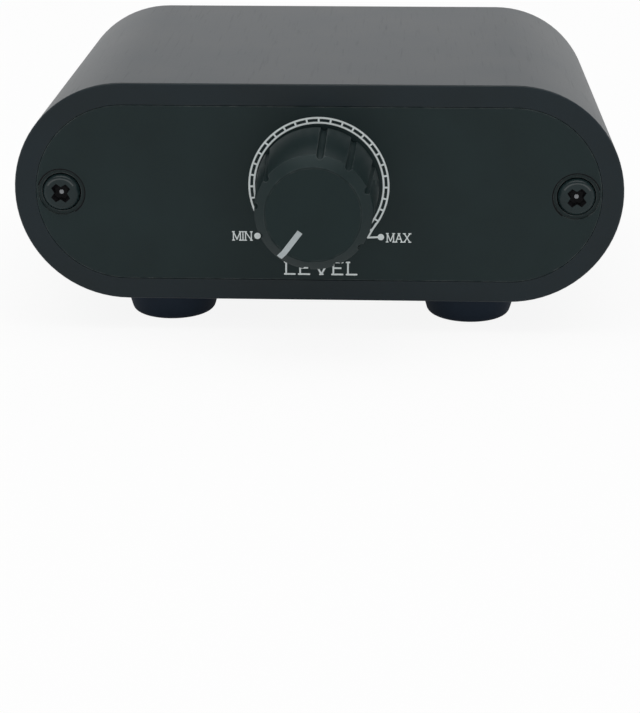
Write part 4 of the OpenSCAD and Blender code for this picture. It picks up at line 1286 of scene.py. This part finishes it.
def build_surround(scene, stage):
    """Light from all round, which the camera sees as white and metal mirrors as white with a dark band."""
    world = bpy.data.worlds.new("surround")
    world.use_nodes = True
    scene.world = world
    tree = world.node_tree
    back = tree.nodes["Background"]
    back.inputs["Color"].default_value = (1.0, 1.0, 1.0, 1.0)
    split = tree.nodes.new("ShaderNodeSeparateXYZ")
    tree.links.new(tree.nodes.new("ShaderNodeTexCoord").outputs["Generated"], split.inputs["Vector"])
    rise = split.outputs["Z"]
    below = add_range(tree, rise, DARK_START, DARK_FULL, 1.0, stage.ceiling)
    band = add_math(tree, "MAXIMUM", below, add_range(tree, rise, WHITE_START, WHITE_FULL))
    plain = add_math(tree, "MULTIPLY", add_math(tree, "SUBTRACT", 1.0, seen_ray(tree)), stage.fill)
    mirrored = add_math(tree, "MULTIPLY", seen_ray(tree, straight=0.0), band)
    shown = add_math(tree, "MAXIMUM", seen_ray(tree, mirrored=0.0), mirrored)
    tree.links.new(add_math(tree, "ADD", plain, shown), back.inputs["Strength"])


def build_camera(scene, stage):
    """The camera at the photograph's viewing angle."""
    lens = bpy.data.cameras.new("camera")
    lens.lens = stage.lens
    lens.clip_start = 0.01
    eye = bpy.data.objects.new("camera", lens)
    side, high, roll = stage.aim
    eye.matrix_world = (
        Matrix.Translation(stage.eye) @ Matrix.Rotation(side, 4, "Z")
        @ Matrix.Rotation(math.pi / 2 - high, 4, "X") @ Matrix.Rotation(roll, 4, "Z"))
    scene.collection.objects.link(eye)
    scene.camera = eye


def build_stage(stage):
    """Pale floor, soft light from above and all round, and the camera."""
    scene = bpy.context.scene
    bm = bmesh.new()
    bmesh.ops.create_grid(bm, size=FLOOR_REACH)
    floor = bpy.data.objects.new("floor", closed_mesh(bm, floor_material(stage)))
    scene.collection.objects.link(floor)
    light = bpy.data.lights.new("overhead", "AREA")
    light.shape = "RECTANGLE"
    light.size, light.size_y = LAMP_WIDTH, LAMP_DEPTH
    light.energy = stage.key
    lamp = bpy.data.objects.new("overhead", light)
    lamp.location = LAMP_PLACE
    scene.collection.objects.link(lamp)
    build_surround(scene, stage)
    scene.view_settings.view_transform = "Standard"
    build_camera(scene, stage)


class VOLUMEBOX_OT_case(bpy.types.Operator):
    """Build the tube case with its mouths, bosses and rails"""
    bl_idname = "volume_box.case"
    bl_label = "Case"

    def execute(self, context):
        build_case(setup("case"))
        return {"FINISHED"}


class VOLUMEBOX_OT_panels(bpy.types.Operator):
    """Build the front and rear panels with their holes"""
    bl_idname = "volume_box.panels"
    bl_label = "Panels"

    def execute(self, context):
        build_panels(setup("panel"))
        return {"FINISHED"}


class VOLUMEBOX_OT_screws(bpy.types.Operator):
    """Build the panel screws with their cross recesses"""
    bl_idname = "volume_box.screws"
    bl_label = "Screws"

    def execute(self, context):
        build_screws(setup("screw"))
        return {"FINISHED"}


class VOLUMEBOX_OT_feet(bpy.types.Operator):
    """Build the rubber feet"""
    bl_idname = "volume_box.feet"
    bl_label = "Feet"

    def execute(self, context):
        build_feet(setup("foot"))
        return {"FINISHED"}


class VOLUMEBOX_OT_knob(bpy.types.Operator):
    """Build the grooved knob and its white line"""
    bl_idname = "volume_box.knob"
    bl_label = "Knob"

    def execute(self, context):
        build_knob(setup("knob"))
        return {"FINISHED"}


class VOLUMEBOX_OT_sockets(bpy.types.Operator):
    """Build the gilt sockets and their coloured cores"""
    bl_idname = "volume_box.sockets"
    bl_label = "Sockets"

    def execute(self, context):
        build_sockets(setup("socket"))
        return {"FINISHED"}


class VOLUMEBOX_OT_print(bpy.types.Operator):
    """Build the printed scale, words and bands"""
    bl_idname = "volume_box.print"
    bl_label = "Print"

    def execute(self, context):
        build_print(setup("print"))
        return {"FINISHED"}


class VOLUMEBOX_OT_inside(bpy.types.Operator):
    """Give the control, the board and the socket bodies their materials"""
    bl_idname = "volume_box.inside"
    bl_label = "Inside"

    def execute(self, context):
        finish_kept_nodes()
        return {"FINISHED"}


class VOLUMEBOX_OT_stage(bpy.types.Operator):
    """Set up the floor, the lights and the camera"""
    bl_idname = "volume_box.stage"
    bl_label = "Stage"

    def execute(self, context):
        build_stage(setup("stage"))
        return {"FINISHED"}


STEPS = (
    VOLUMEBOX_OT_case, VOLUMEBOX_OT_panels, VOLUMEBOX_OT_screws, VOLUMEBOX_OT_feet, VOLUMEBOX_OT_knob,
    VOLUMEBOX_OT_sockets, VOLUMEBOX_OT_print, VOLUMEBOX_OT_inside, VOLUMEBOX_OT_stage,
)
SETTINGS = {
    "case": CaseSizes, "panel": PanelSizes, "screw": ScrewSizes, "foot": FootSizes, "knob": KnobSizes,
    "socket": SocketSizes, "print": PrintSizes, "colours": Colours, "stage": StageSetup,
}


class VOLUMEBOX_PT_build(bpy.types.Panel):
    """Lists the building steps and the settings"""
    bl_idname = "VOLUMEBOX_PT_build"
    bl_label = "Volume Control Box"
    bl_space_type = "VIEW_3D"
    bl_region_type = "UI"
    bl_category = "Volume Box"

    def draw(self, context):
        column = self.layout.column(align=True)
        for step in STEPS:
            column.operator(step.bl_idname)
        for name, group in SETTINGS.items():
            box = self.layout.box()
            box.label(text=group.__doc__)
            for setting in group.__annotations__:
                box.prop(setup(name), setting)


def register():
    """Registers the settings, the building steps and the panel."""
    for name, group in SETTINGS.items():
        bpy.utils.register_class(group)
        setattr(bpy.types.Scene, "volume_box_" + name, PointerProperty(type=group))
    for item in (*STEPS, VOLUMEBOX_PT_build):
        bpy.utils.register_class(item)


def unregister():
    """Takes back what register did."""
    for item in (VOLUMEBOX_PT_build, *reversed(STEPS)):
        bpy.utils.unregister_class(item)
    for name, group in reversed(SETTINGS.items()):
        delattr(bpy.types.Scene, "volume_box_" + name)
        bpy.utils.unregister_class(group)


def main():
    register()
    for step in STEPS:
        area, name = step.bl_idname.split(".")
        getattr(getattr(bpy.ops, area), name)()


if __name__ == "__main__":
    main()
